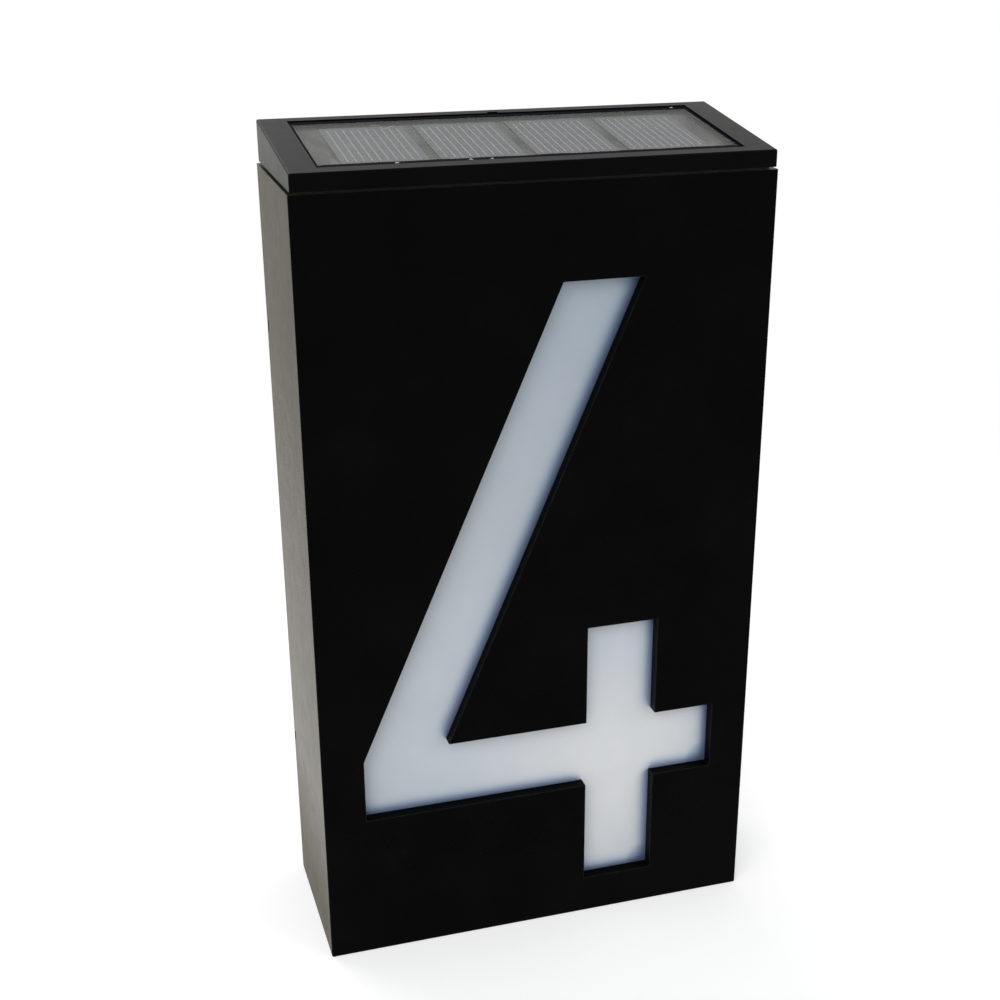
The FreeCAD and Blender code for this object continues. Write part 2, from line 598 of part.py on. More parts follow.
def light_tray():
    outer = Part.makeLoft(
        [sheet_outline(DIFFUSER_BACK_Y, 0), sheet_outline(TRAY_BACK_Y, TRAY_DRAFT)], True, True
    )
    share = TRAY_DEPTH / (TRAY_DEPTH + TRAY_FLOOR)
    inner = Part.makeLoft(
        [
            sheet_outline(DIFFUSER_BACK_Y, TRAY_WALL),
            sheet_outline(TRAY_FLOOR_Y, TRAY_WALL + TRAY_DRAFT * share),
        ],
        True,
        True,
    )
    body = cut(outer, [inner])
    stub_y = TRAY_BACK_Y - BOARD_SCREW_LENGTH - TRAY_FLOOR / 2
    stub_radius = SMALL_SCREW_RADIUS + TRAY_WALL
    stubs = [rod_y(stub_radius, stub_y, TRAY_FLOOR_Y, x, z) for x, z in board_screw_places()]
    body = fuse([body] + stubs)
    holes = []
    pilot = SMALL_SCREW_RADIUS + PILOT_FIT
    for x, z in board_screw_places():
        holes.append(rod_y(pilot, TRAY_BACK_Y - BOARD_SCREW_LENGTH, TRAY_BACK_Y, x, z))
    for x, z in POST_PLACES:
        holes.append(rod_y(pilot, TRAY_FLOOR_Y, TRAY_BACK_Y, x, z))
    half_x = LED_LENGTH / 2 + LED_WINDOW_FIT
    half_z = LED_WIDTH / 2 + LED_WINDOW_FIT
    for x, z in led_places():
        holes.append(
            block(x - half_x, x + half_x, TRAY_FLOOR_Y, TRAY_BACK_Y, z - half_z, z + half_z)
        )
    return cut(body, holes)


def led_board():
    board = slab(
        LED_BOARD_X - LED_BOARD_WIDTH / 2,
        LED_BOARD_X + LED_BOARD_WIDTH / 2,
        LED_BOARD_Z - LED_BOARD_HEIGHT / 2,
        LED_BOARD_Z + LED_BOARD_HEIGHT / 2,
        TRAY_BACK_Y,
        LED_BOARD_BACK_Y,
        COVER_CORNER,
    )
    pilot = SMALL_SCREW_RADIUS + PILOT_FIT
    return cut(board, [rod_y(pilot, TRAY_BACK_Y, LED_BOARD_BACK_Y, x, z) for x, z in board_screw_places()])


def leds():
    bodies = []
    for x, z in led_places():
        half_x = LED_LENGTH / 2
        half_z = LED_WIDTH / 2
        front = TRAY_BACK_Y - LED_THICKNESS
        body = block(x - half_x, x + half_x, front, TRAY_BACK_Y, z - half_z, z + half_z)
        lens = Part.makeCone(
            half_z * 0.8, half_z * 0.55, LED_THICKNESS * 0.3, Vector(x, front, z), Vector(0, 1, 0)
        )
        bodies.append(cut(body, [lens]))
    return Part.makeCompound(bodies)


# ---------------------------------------------------------------- rear cover
def hook_pocket_span(level):
    """Mouth and pocket heights in the cover for one row of hooks."""
    mouth_low = level - PLATE_THICKNESS - PLATE_TRAVEL - POCKET_FIT
    mouth_high = level + HOOK_REST_GAP
    pocket_high = level + HOOK_TONGUE + POCKET_FIT
    return mouth_low, mouth_high, pocket_high


def hook_places():
    return [(side * HOOK_X, level) for side in (-1, 1) for level in HOOK_LEVELS]


def rear_cover():
    plate = slab(
        -COVER_HALF, COVER_HALF, COVER_BOTTOM, COVER_TOP, COVER_INNER_Y, BACK_Y, COVER_CORNER
    )
    door_half = DOOR_LENGTH / 2 + DOOR_FIT
    door_low = BAY_CENTRE_Z - DOOR_HEIGHT / 2 - DOOR_FIT
    door_high = BAY_CENTRE_Z + DOOR_HEIGHT / 2 + DOOR_FIT
    seat_back = SEAT_Y - DOOR_SEAT_THICKNESS
    added = [
        block(
            -BAY_HALF - BAY_WALL, BAY_HALF + BAY_WALL, BAY_FLOOR_Y - BAY_WALL, COVER_INNER_Y,
            BAY_LOW - BAY_WALL, BAY_HIGH + BAY_WALL,
        ),
        slab(
            -door_half - BAY_WALL, door_half + BAY_WALL, door_low - BAY_WALL, door_high + BAY_WALL,
            seat_back, COVER_INNER_Y, DOOR_CORNER,
        ),
    ]
    boss_end = SEAT_Y - DOOR_SCREW_LENGTH - BAY_WALL
    for side in (-1, 1):
        added.append(rod_y(DOOR_SCREW_BOSS, boss_end, COVER_INNER_Y, side * DOOR_SCREW_X, BAY_CENTRE_Z))
        added.append(
            block(
                side * STIFFENER_X - STIFFENER_THICKNESS / 2, side * STIFFENER_X + STIFFENER_THICKNESS / 2,
                COVER_INNER_Y - STIFFENER_DEPTH, COVER_INNER_Y, *STIFFENER_RANGE,
            )
        )
    for x, z in CONTROL_SCREW_PLACES:
        added.append(rod_y(CONTROL_POST_RADIUS, CONTROL_BACK_Y, COVER_INNER_Y, x, z))
    pocket_front = TONGUE_FRONT_Y - POCKET_FIT
    hook_half = HOOK_WIDTH / 2 + POCKET_FIT
    for x, level in hook_places():
        mouth_low, _, pocket_high = hook_pocket_span(level)
        added.append(
            block(
                x - hook_half - POCKET_WALL, x + hook_half + POCKET_WALL,
                pocket_front - POCKET_WALL, COVER_INNER_Y,
                mouth_low - POCKET_WALL, pocket_high + POCKET_WALL,
            )
        )
    head_floor = BACK_Y - HEAD_POCKET_DEPTH
    for z in PLATE_HOLES_Z:
        added.append(
            obround_y(
                HEAD_POCKET_RADIUS + POCKET_WALL, head_floor - POCKET_WALL, COVER_INNER_Y, 0,
                z - PLATE_TRAVEL, z,
            )
        )
    body = fuse([plate] + added)

    opened = [
        slab(-door_half, door_half, door_low, door_high, SEAT_Y, BACK_Y, DOOR_CORNER),
        block(-BAY_HALF, BAY_HALF, BAY_FLOOR_Y, SEAT_Y, BAY_LOW, BAY_HIGH),
    ]
    pilot = SMALL_SCREW_RADIUS + PILOT_FIT
    for side in (-1, 1):
        opened.append(rod_y(pilot, SEAT_Y - DOOR_SCREW_LENGTH, SEAT_Y, side * DOOR_SCREW_X, BAY_CENTRE_Z))
        slot_x = side * (BAY_HALF - CONTACT_THICKNESS / 2)
        slot_half = CONTACT_THICKNESS / 2 + SLIDER_FIT
        tab_half = CONTACT_TAB_WIDTH / 2 + SLIDER_FIT
        opened.append(
            block(
                slot_x - slot_half, slot_x + slot_half,
                CONTROL_MIDDLE_Y - tab_half, CONTROL_MIDDLE_Y + tab_half, BAY_HIGH, BAY_HIGH + BAY_WALL,
            )
        )
    for x, z in CONTROL_SCREW_PLACES:
        opened.append(rod_y(pilot, CONTROL_BACK_Y, CONTROL_BACK_Y + CONTROL_SCREW_LENGTH, x, z))
    for x, z in COVER_SCREW_PLACES:
        opened.append(rod_y(SCREW_RADIUS + PILOT_FIT, COVER_INNER_Y, BACK_Y, x, z))
        opened.append(rod_y(SCREW_HEAD_RADIUS + HEAD_FIT, COVER_INNER_Y + COVER_HEAD_SEAT, BACK_Y, x, z))
    for x, level in hook_places():
        mouth_low, mouth_high, pocket_high = hook_pocket_span(level)
        opened.append(block(x - hook_half, x + hook_half, COVER_INNER_Y, BACK_Y, mouth_low, mouth_high))
        opened.append(
            block(x - hook_half, x + hook_half, pocket_front, COVER_INNER_Y, mouth_low, pocket_high)
        )
    for z in PLATE_HOLES_Z:
        opened.append(obround_y(HEAD_POCKET_RADIUS, head_floor, BACK_Y, 0, z - PLATE_TRAVEL, z))
    x, z = on_board_at(SWITCH_PLACE)
    window_half = KNOB_LENGTH / 2 + WINDOW_FIT
    window_high = KNOB_HEIGHT / 2 + WINDOW_FIT
    opened.append(
        block(
            x - SWITCH_TRAVEL / 2 - window_half, x + SWITCH_TRAVEL / 2 + window_half,
            COVER_INNER_Y, BACK_Y, z - window_high, z + window_high,
        )
    )
    opened.append(
        slab(
            x - SWITCH_DISH_LENGTH / 2, x + SWITCH_DISH_LENGTH / 2,
            z - SWITCH_DISH_HEIGHT / 2, z + SWITCH_DISH_HEIGHT / 2,
            BACK_Y - SWITCH_DISH_DEPTH, BACK_Y, DOOR_CORNER,
        )
    )
    body = cut(body, opened)

    cradles = []
    round_room = rod_x(CELL_RADIUS + CELL_FIT, -BAY_HALF, BAY_HALF, CELL_Y, BAY_CENTRE_Z)
    for x in (CELL_LEFT + CRADLE_INSET, CELL_LEFT + CELL_LENGTH - CRADLE_INSET):
        half = CRADLE_THICKNESS / 2
        web = block(x - half, x + half, BAY_FLOOR_Y, CELL_Y, BAY_LOW, BAY_HIGH)
        cradles.append(web.cut(round_room))
    return fuse([body] + cradles)


def rear_cover_seal():
    return ring(
        -COVER_HALF, COVER_HALF, COVER_BOTTOM, COVER_TOP, REBATE_Y, COVER_INNER_Y, COVER_CORNER, SEAL_WIDTH
    )


# ---------------------------------------------------------------- battery and its door
def battery_cell():
    right = CELL_LEFT + CELL_LENGTH
    can = rod_x(CELL_RADIUS, CELL_LEFT, right, CELL_Y, BAY_CENTRE_Z)
    can = bevelled_edges(can, EDGE_RADIUS, lambda e: e.BoundBox.XLength < 1e-6)
    nub = rod_x(CELL_NUB_RADIUS, right, right + CELL_NUB_LENGTH, CELL_Y, BAY_CENTRE_Z)
    return fuse([can, nub])


def contact_plate(side):
    """A contact with its solder tab through the bay's top wall."""
    outer_x = side * BAY_HALF
    inner_x = outer_x - side * CONTACT_THICKNESS
    low_x, high_x = sorted((outer_x, inner_x))
    half = CONTACT_SIZE / 2
    leaf = block(low_x, high_x, CELL_Y - half, CELL_Y + half, BAY_CENTRE_Z - half, BAY_CENTRE_Z + half)
    tab_half = CONTACT_TAB_WIDTH / 2
    tab = block(
        low_x, high_x, CONTROL_MIDDLE_Y - tab_half, CONTROL_MIDDLE_Y + tab_half,
        BAY_CENTRE_Z, CONTACT_TAB_TOP,
    )
    return fuse([leaf, tab])


def positive_contact():
    leaf = contact_plate(1)
    inner_x = BAY_HALF - CONTACT_THICKNESS
    dimple = Part.makeCone(
        CONTACT_DIMPLE_RADIUS, CONTACT_DIMPLE_RADIUS / 2, CONTACT_DIMPLE_HEIGHT,
        Vector(inner_x, CELL_Y, BAY_CENTRE_Z), Vector(-1, 0, 0),
    )
    return fuse([leaf, dimple])


def biarc(p0, t0, p1, t1):
    """Two arcs, tangent to each other and to the given directions at both ends."""
    v = p1 - p0
    t = t0 + t1
    a = 2 * (1 - t0.dot(t1))
    b = 2 * v.dot(t)
    reach = (-b + math.sqrt(b * b + 4 * a * v.dot(v))) / (2 * a)
    joint = (p0 + p1) * 0.5 + (t0 - t1) * (reach / 2)
    return [arc_from(p0, t0, joint), arc_from(p1, t1 * -1, joint)]


def arc_from(start, tangent, end):
    """The arc that leaves start along tangent and passes through end."""
    chord = end - start
    along = chord.dot(tangent)
    side = (chord - tangent * along).normalize()
    radius = chord.dot(chord) / (2 * chord.dot(side))
    centre = start + side * radius
    middle = (start + end) * 0.5 - centre
    return Part.Arc(start, centre + middle.normalize() * radius, end).toShape()


def battery_spring():
    """A conical coil from the contact plate to the cell's flat end."""
    wire_radius = SPRING_WIRE / 2
    start_x = -BAY_HALF + CONTACT_THICKNESS + wire_radius
    length = SPRING_LENGTH - SPRING_WIRE
    steps = 2 * SPRING_TURNS

    def point(share):
        angle = 2 * math.pi * SPRING_TURNS * share
        radius = SPRING_BIG_RADIUS + (SPRING_SMALL_RADIUS - SPRING_BIG_RADIUS) * share
        return Vector(
            start_x + length * share,
            CELL_Y + radius * math.cos(angle),
            BAY_CENTRE_Z + radius * math.sin(angle),
        )

    def direction(share):
        step = 1e-5
        return (point(share + step) - point(share - step)).normalize()

    edges = []
    for i in range(steps):
        low, high = i / steps, (i + 1) / steps
        first, second = biarc(point(low), direction(low), point(high), direction(high))
        edges += [first, second]
    path = Part.Wire(Part.__sortEdges__(edges))
    circle = Part.Wire([Part.Circle(point(0), direction(0), wire_radius).toShape()])
    return path.makePipeShell([circle], True, False)


def battery_door():
    half = DOOR_LENGTH / 2
    low = BAY_CENTRE_Z - DOOR_HEIGHT / 2
    high = BAY_CENTRE_Z + DOOR_HEIGHT / 2
    inner_y = BACK_Y - DOOR_THICKNESS
    plate = slab(-half, half, low, high, inner_y, BACK_Y, DOOR_CORNER - DOOR_FIT)
    holes = []
    for side in (-1, 1):
        x = side * DOOR_SCREW_X
        holes.append(rod_y(SMALL_SCREW_RADIUS + PILOT_FIT, inner_y, BACK_Y, x, BAY_CENTRE_Z))
        holes.append(
            rod_y(SMALL_HEAD_RADIUS + HEAD_FIT, BACK_Y - DOOR_HEAD_RECESS, BACK_Y, x, BAY_CENTRE_Z)
        )
    return cut(plate, holes)


def battery_door_seal():
    half = BAY_HALF + BAY_WALL + DOOR_SEAL_WIDTH / 2
    half_z = BAY_HEIGHT / 2 + BAY_WALL + DOOR_SEAL_WIDTH / 2
    return ring(
        -half, half, BAY_CENTRE_Z - half_z, BAY_CENTRE_Z + half_z,
        SEAT_Y, SEAT_Y + DOOR_SEAL_THICKNESS, COVER_CORNER, DOOR_SEAL_WIDTH,
    )


# ---------------------------------------------------------------- control board and switch
def control_board():
    half = CONTROL_WIDTH / 2
    board = slab(
        -half, half, CONTROL_BOTTOM, CONTROL_TOP, CONTROL_FRONT_Y, CONTROL_BACK_Y, COVER_CORNER
    )
    pilot = SMALL_SCREW_RADIUS + PILOT_FIT
    return cut(
        board, [rod_y(pilot, CONTROL_FRONT_Y, CONTROL_BACK_Y, x, z) for x, z in CONTROL_SCREW_PLACES]
    )


def on_board_at(place):
    """X and Z of a place that is given from the middle of the board's lower edge."""
    return place[0], CONTROL_BOTTOM + place[1]


def on_board(size, place):
    """A small rectangular component on the board's front face."""
    length, height, width = size
    x, z = on_board_at(place)
    return block(
        x - length / 2, x + length / 2, CONTROL_FRONT_Y - height, CONTROL_FRONT_Y,
        z - width / 2, z + width / 2,
    )


def charge_coil():
    x, z = on_board_at(COIL_PLACE)
    top = CONTROL_FRONT_Y - COIL_HEIGHT
    flange = COIL_HEIGHT / 5
    core = rod_y(COIL_RADIUS * 0.8, top, CONTROL_FRONT_Y, x, z)
    ends = [
        rod_y(COIL_RADIUS, top, top + flange, x, z),
        rod_y(COIL_RADIUS, CONTROL_FRONT_Y - flange, CONTROL_FRONT_Y, x, z),
    ]
    return fuse([core] + ends)


def capacitor():
    x, z = on_board_at(CAPACITOR_PLACE)
    can = rod_y(CAPACITOR_RADIUS, CONTROL_FRONT_Y - CAPACITOR_HEIGHT, CONTROL_FRONT_Y, x, z)
    return bevelled_edges(
        can, EDGE_RADIUS, lambda e: e.BoundBox.YMax < CONTROL_FRONT_Y - CAPACITOR_HEIGHT / 2
    )


def switch_body():
    x, z = on_board_at(SWITCH_PLACE)
    back = CONTROL_BACK_Y + SWITCH_BODY_DEPTH
    half = SWITCH_LENGTH / 2
    half_z = SWITCH_HEIGHT / 2
    case = block(x - half, x + half, CONTROL_BACK_Y, back, z - half_z, z + half_z)
    room_half = (SLIDER_LENGTH + SWITCH_TRAVEL) / 2 + SLIDER_FIT
    room_z = half_z - SWITCH_WALL
    room = block(
        x - room_half, x + room_half, CONTROL_BACK_Y + SWITCH_WALL, back - SWITCH_WALL,
        z - room_z, z + room_z,
    )
    mouth_half = (KNOB_LENGTH + SWITCH_TRAVEL) / 2 + SLIDER_FIT
    mouth_z = KNOB_HEIGHT / 2 + SLIDER_FIT
    mouth = block(x - mouth_half, x + mouth_half, back - SWITCH_WALL, back, z - mouth_z, z + mouth_z)
    return cut(case, [room, mouth])


def switch_slider():
    """The slider at the low end of its travel along X, where the light is off."""
    middle_x, z = on_board_at(SWITCH_PLACE)
    x = middle_x - SWITCH_TRAVEL / 2
    room_back = CONTROL_BACK_Y + SWITCH_BODY_DEPTH - SWITCH_WALL - SLIDER_FIT
    foot_z = SWITCH_HEIGHT / 2 - SWITCH_WALL - SLIDER_FIT
    foot = block(
        x - SLIDER_LENGTH / 2, x + SLIDER_LENGTH / 2, room_back - SLIDER_DEPTH, room_back,
        z - foot_z, z + foot_z,
    )
    knob = block(
        x - KNOB_LENGTH / 2, x + KNOB_LENGTH / 2, room_back, BACK_Y - KNOB_RECESS,
        z - KNOB_HEIGHT / 2, z + KNOB_HEIGHT / 2,
    )
    grip = []
    half = KNOB_GROOVE_WIDTH / 2
    for i in range(KNOB_GROOVES):
        groove_x = x + (i - (KNOB_GROOVES - 1) / 2) * KNOB_LENGTH / KNOB_GROOVES
        grip.append(
            block(
                groove_x - half, groove_x + half,
                BACK_Y - KNOB_RECESS - KNOB_GROOVE_WIDTH, BACK_Y - KNOB_RECESS,
                z - KNOB_HEIGHT / 2, z + KNOB_HEIGHT / 2,
            )
        )
    return cut(fuse([foot, knob]), grip)


# ---------------------------------------------------------------- wall plate
def wall_hook(x, level):
    """A tab bent out of the plate: a neck towards the sign, then a tongue upwards."""
    low = level - PLATE_THICKNESS
    profile = (
        (PLATE_FRONT_Y, low),
        (PLATE_FRONT_Y, level),
        (TONGUE_BACK_Y, level),
        (TONGUE_BACK_Y, level + HOOK_TONGUE),
        (TONGUE_FRONT_Y, level + HOOK_TONGUE),
        (TONGUE_FRONT_Y, low),
    )
    hook = side_profile(profile, x - HOOK_WIDTH / 2, x + HOOK_WIDTH / 2)

    def outer_bend(e):
        box = e.BoundBox
        across = box.XLength > HOOK_WIDTH / 2
        return across and box.YMax < TONGUE_FRONT_Y + 1e-6 and box.ZMax < low + 1e-6

    return rounded_edges(hook, PLATE_THICKNESS * 0.9, outer_bend)


def wall_plate():
    half = PLATE_WIDTH / 2
    plate = slab(-half, half, PLATE_BOTTOM, PLATE_TOP, PLATE_FRONT_Y, WALL_Y, PLATE_CORNER)
    tools = [rod_y(PLATE_HOLE_RADIUS, PLATE_FRONT_Y, WALL_Y, 0, z) for z in PLATE_HOLES_Z]
    window_half = HOOK_WIDTH / 2 + HOOK_WINDOW_FIT
    for x, level in hook_places():
        window = slab(
            x - window_half, x + window_half, level, level + HOOK_WINDOW_TOP,
            PLATE_FRONT_Y, WALL_Y, HOOK_BEND,
        )
        tools.append(window)
    plate = cut(plate, tools)
    return fuse([plate] + [wall_hook(x, level) for x, level in hook_places()])


def wall_bumpers():
    pads = []
    for side in (-1, 1):
        pad = rod_y(BUMPER_RADIUS, BACK_Y, WALL_Y, side * BUMPER_X, BUMPER_Z)
        pads.append(bevelled_edges(pad, EDGE_RADIUS, lambda e: e.BoundBox.YMin > WALL_Y - 1e-6))
    return Part.makeCompound(pads)


# ---------------------------------------------------------------- cap and solar panel
def recess_block(width, length, gap, top, bottom):
    """A flat block inside the panel's recess, drawn flat before it is set on the slope."""
    start = CAP_RIM_FRONT + gap
    return block(-width / 2, width / 2, start, start + length, bottom, top)


def slope_height(y):
    return CAP_FRONT_TOP + (y - FRONT_Y) * math.tan(SLOPE)


def top_cap():
    profile = (
        (FRONT_Y, CAP_BOTTOM_Z),
        (FRONT_Y, CAP_FRONT_TOP),
        (BACK_Y, CAP_REAR_TOP),
        (BACK_Y, CAP_BOTTOM_Z),
    )
    wedge = side_profile(profile, -CAP_HALF, CAP_HALF)
    wedge = rounded_edges(wedge, EDGE_RADIUS, lambda e: e.BoundBox.ZMax > CAP_BOTTOM_Z + 1e-6)
    floor_drop = (RECESS_DEPTH + CAP_FLOOR) / math.cos(SLOPE)
    hollow_profile = (
        (FRONT_Y, slope_height(FRONT_Y) - floor_drop),
        (BACK_Y, slope_height(BACK_Y) - floor_drop),
        (BACK_Y, HOUSING_HEIGHT - CAP_WALL),
        (FRONT_Y, HOUSING_HEIGHT - CAP_WALL),
    )
    hollow = side_profile(hollow_profile, -CAP_HALF + CAP_WALL, CAP_HALF - CAP_WALL)
    room = block(
        -CAP_HALF + CAP_WALL, CAP_HALF - CAP_WALL, FRONT_Y + CAP_WALL, BACK_Y - CAP_WALL,
        CAP_BOTTOM_Z, HEIGHT,
    )
    hollow = hollow.common(room)
    recess = on_slope(recess_block(RECESS_WIDTH, RECESS_LENGTH, 0, 1, -RECESS_DEPTH))
    rear_rim = CAP_RIM_FRONT + RECESS_LENGTH
    notch = on_slope(
        block(-RIM_NOTCH_WIDTH / 2, RIM_NOTCH_WIDTH / 2, rear_rim, rear_rim + RIM_NOTCH_DEPTH, -1, 1)
    )
    lead_hole = rod_z(LEAD_HOLE_RADIUS, CAP_BOTTOM_Z, HEIGHT, LEAD_HOLE_X, LEAD_HOLE_Y)
    body = cut(wedge, [hollow])
    bosses = []
    for x, y in CAP_SCREW_PLACES:
        ceiling = slope_height(y) - floor_drop
        bosses.append(rod_z(CAP_BOSS_RADIUS, HOUSING_HEIGHT, ceiling + CAP_FLOOR / 2, x, y))
    body = fuse([body] + bosses)
    pilots = []
    for x, y in CAP_SCREW_PLACES:
        tip = CEILING_Z + CAP_SCREW_LENGTH
        pilots.append(rod_z(SCREW_RADIUS + PILOT_FIT, HOUSING_HEIGHT, tip, x, y))
    return cut(body, [recess, notch, lead_hole] + pilots)


def cap_seal():
    half = CAP_HALF - CAP_SEAL_INSET
    y0 = FRONT_Y + CAP_SEAL_INSET
    y1 = BACK_Y - CAP_SEAL_INSET
    outer = block(-half, half, y0, y1, HOUSING_HEIGHT, CAP_BOTTOM_Z)
    inner = block(
        -half + CAP_SEAL_WIDTH, half - CAP_SEAL_WIDTH, y0 + CAP_SEAL_WIDTH, y1 - CAP_SEAL_WIDTH,
        HOUSING_HEIGHT, CAP_BOTTOM_Z,
    )
    return outer.cut(inner)


def panel_tape():
    top = -PANEL_SUNK - PANEL_RESIN - PANEL_BOARD
    start = CAP_RIM_FRONT + PANEL_GAP
    strips = []
    for side in (-1, 1):
        low, high = sorted((side * PANEL_WIDTH / 2, side * (PANEL_WIDTH / 2 - TAPE_WIDTH)))
        strips.append(on_slope(block(low, high, start, start + PANEL_LENGTH, -RECESS_DEPTH, top)))
    return Part.makeCompound(strips)


def panel_board():
    top = -PANEL_SUNK - PANEL_RESIN
    return on_slope(recess_block(PANEL_WIDTH, PANEL_LENGTH, PANEL_GAP, top, top - PANEL_BOARD))


def cell_centres():
    pitch = SOLAR_CELL_WIDTH + CELL_SPACE
    return [(i - (CELL_COUNT - 1) / 2) * pitch for i in range(CELL_COUNT)]


def cell_block(x, bottom, top, extra):
    half = SOLAR_CELL_WIDTH / 2 + extra
    middle = CAP_RIM_FRONT + PANEL_GAP + PANEL_LENGTH / 2
    half_length = SOLAR_CELL_LENGTH / 2 + extra
    return block(x - half, x + half, middle - half_length, middle + half_length, bottom, top)


def solar_cells():
    bottom = -PANEL_SUNK - PANEL_RESIN
    return Part.makeCompound(
        [on_slope(cell_block(x, bottom, bottom + SOLAR_CELL_THICKNESS, 0)) for x in cell_centres()]
    )


def cell_fingers():
    bottom = -PANEL_SUNK - PANEL_RESIN + SOLAR_CELL_THICKNESS
    middle = CAP_RIM_FRONT + PANEL_GAP + PANEL_LENGTH / 2
    lines = []
    for x in cell_centres():
        for i in range(FINGERS_PER_CELL):
            line_x = x + (i - (FINGERS_PER_CELL - 1) / 2) * FINGER_PITCH
            lines.append(
                on_slope(
                    block(
                        line_x - FINGER_WIDTH / 2, line_x + FINGER_WIDTH / 2,
                        middle - FINGER_LENGTH / 2, middle + FINGER_LENGTH / 2,
                        bottom, bottom + FINGER_THICKNESS,
                    )
                )
            )
    return Part.makeCompound(lines)


def panel_resin():
    bottom = -PANEL_SUNK - PANEL_RESIN
    layer = recess_block(PANEL_WIDTH, PANEL_LENGTH, PANEL_GAP, -PANEL_SUNK, bottom)
    rooms = [
        cell_block(x, bottom, bottom + SOLAR_CELL_THICKNESS + FINGER_THICKNESS, SOLAR_CELL_FIT)
        for x in cell_centres()
    ]
    return on_slope(layer.cut(rooms))


# ---------------------------------------------------------------- leads
def cable_grommet():
    x, y = LEAD_HOLE_X, LEAD_HOLE_Y
    body = fuse(
        [
            rod_z(GROMMET_RADIUS, CEILING_Z, HOUSING_HEIGHT, x, y),
            rod_z(GROMMET_FLANGE_RADIUS, CEILING_Z - GROMMET_FLANGE, CEILING_Z, x, y),
            rod_z(GROMMET_FLANGE_RADIUS, HOUSING_HEIGHT, HOUSING_HEIGHT + GROMMET_FLANGE, x, y),
        ]
    )
    bore = rod_z(
        GROMMET_BORE, CEILING_Z - GROMMET_FLANGE, HOUSING_HEIGHT + GROMMET_FLANGE, x, y
    )
    return cut(body, [bore])


def lead(points):
    """A round lead: straight runs joined by tangent arcs as large as the runs allow."""
    corners = [Vector(*p) for p in points]
    edges = []
    start = corners[0]
    for before, corner, after in zip(corners, corners[1:], corners[2:]):
        back = before - corner
        ahead = after - corner
        turn = math.pi - back.getAngle(ahead)
        reach = 0.45 * min(back.Length, ahead.Length)
        radius = reach / math.tan(turn / 2)
        back.normalize()
        ahead.normalize()
        arc_start = corner + back * reach
        arc_end = corner + ahead * reach
        inward = (back + ahead).normalize()
        centre = corner + inward * math.hypot(radius, reach)
        middle = centre - inward * radius
        edges.append(Part.LineSegment(start, arc_start).toShape())
        edges.append(Part.Arc(arc_start, middle, arc_end).toShape())
        start = arc_end
        print(f"lead bend radius {radius:.1f} mm")
    edges.append(Part.LineSegment(start, corners[-1]).toShape())
    path = Part.Wire(edges)
    first = corners[1] - corners[0]
    circle = Part.Wire([Part.Circle(corners[0], first, LEAD_RADIUS).toShape()])
    tube = path.makePipeShell([circle], True, False)
    expected = math.pi * LEAD_RADIUS**2 * path.Length
    print(f"lead length {path.Length:.1f} mm, volume {tube.Volume / expected:.4f} of section x length")
    return tube


def panel_lead(side):
    """From the solar panel's underside through cap and grommet to the control board's top edge."""
    x = LEAD_HOLE_X + side * LEAD_SPACING / 2
    y = LEAD_HOLE_Y
    sunk = PANEL_SUNK + PANEL_RESIN + PANEL_BOARD
    top = slope_height(y - LEAD_RADIUS) - sunk / math.cos(SLOPE) - LEAD_GAP
    levels = [CONTROL_TOP + share * (CEILING_Z - CONTROL_TOP) for share in LEAD_LEVELS]
    return lead(
        [
            (x, y, top),
            (x, y, levels[0]),
            (x + LEAD_SLACK, CONTROL_MIDDLE_Y, levels[1]),
            (x + LEAD_SLACK, CONTROL_MIDDLE_Y, CONTROL_TOP),
        ]
    )


def led_lead(side):
    x = LED_LEAD_X + side * LEAD_SPACING / 2
    z = CONTROL_TOP + LED_LEAD_RISE
    return lead(
        [
            (x, LED_BOARD_BACK_Y, z),
            (x, CONTROL_MIDDLE_Y, z),
            (x, CONTROL_MIDDLE_Y, CONTROL_TOP),
        ]
    )


def battery_lead(side):
    tab_x = side * (BAY_HALF - CONTACT_THICKNESS / 2)
    middle_z = (CONTACT_TAB_TOP + CONTROL_BOTTOM) / 2
    return lead(
        [
            (tab_x, CONTROL_MIDDLE_Y, CONTACT_TAB_TOP),
            (tab_x, CONTROL_MIDDLE_Y, middle_z),
            (side * BATTERY_LEAD_X, CONTROL_MIDDLE_Y, middle_z),
            (side * BATTERY_LEAD_X, CONTROL_MIDDLE_Y, CONTROL_BOTTOM),
        ]
    )


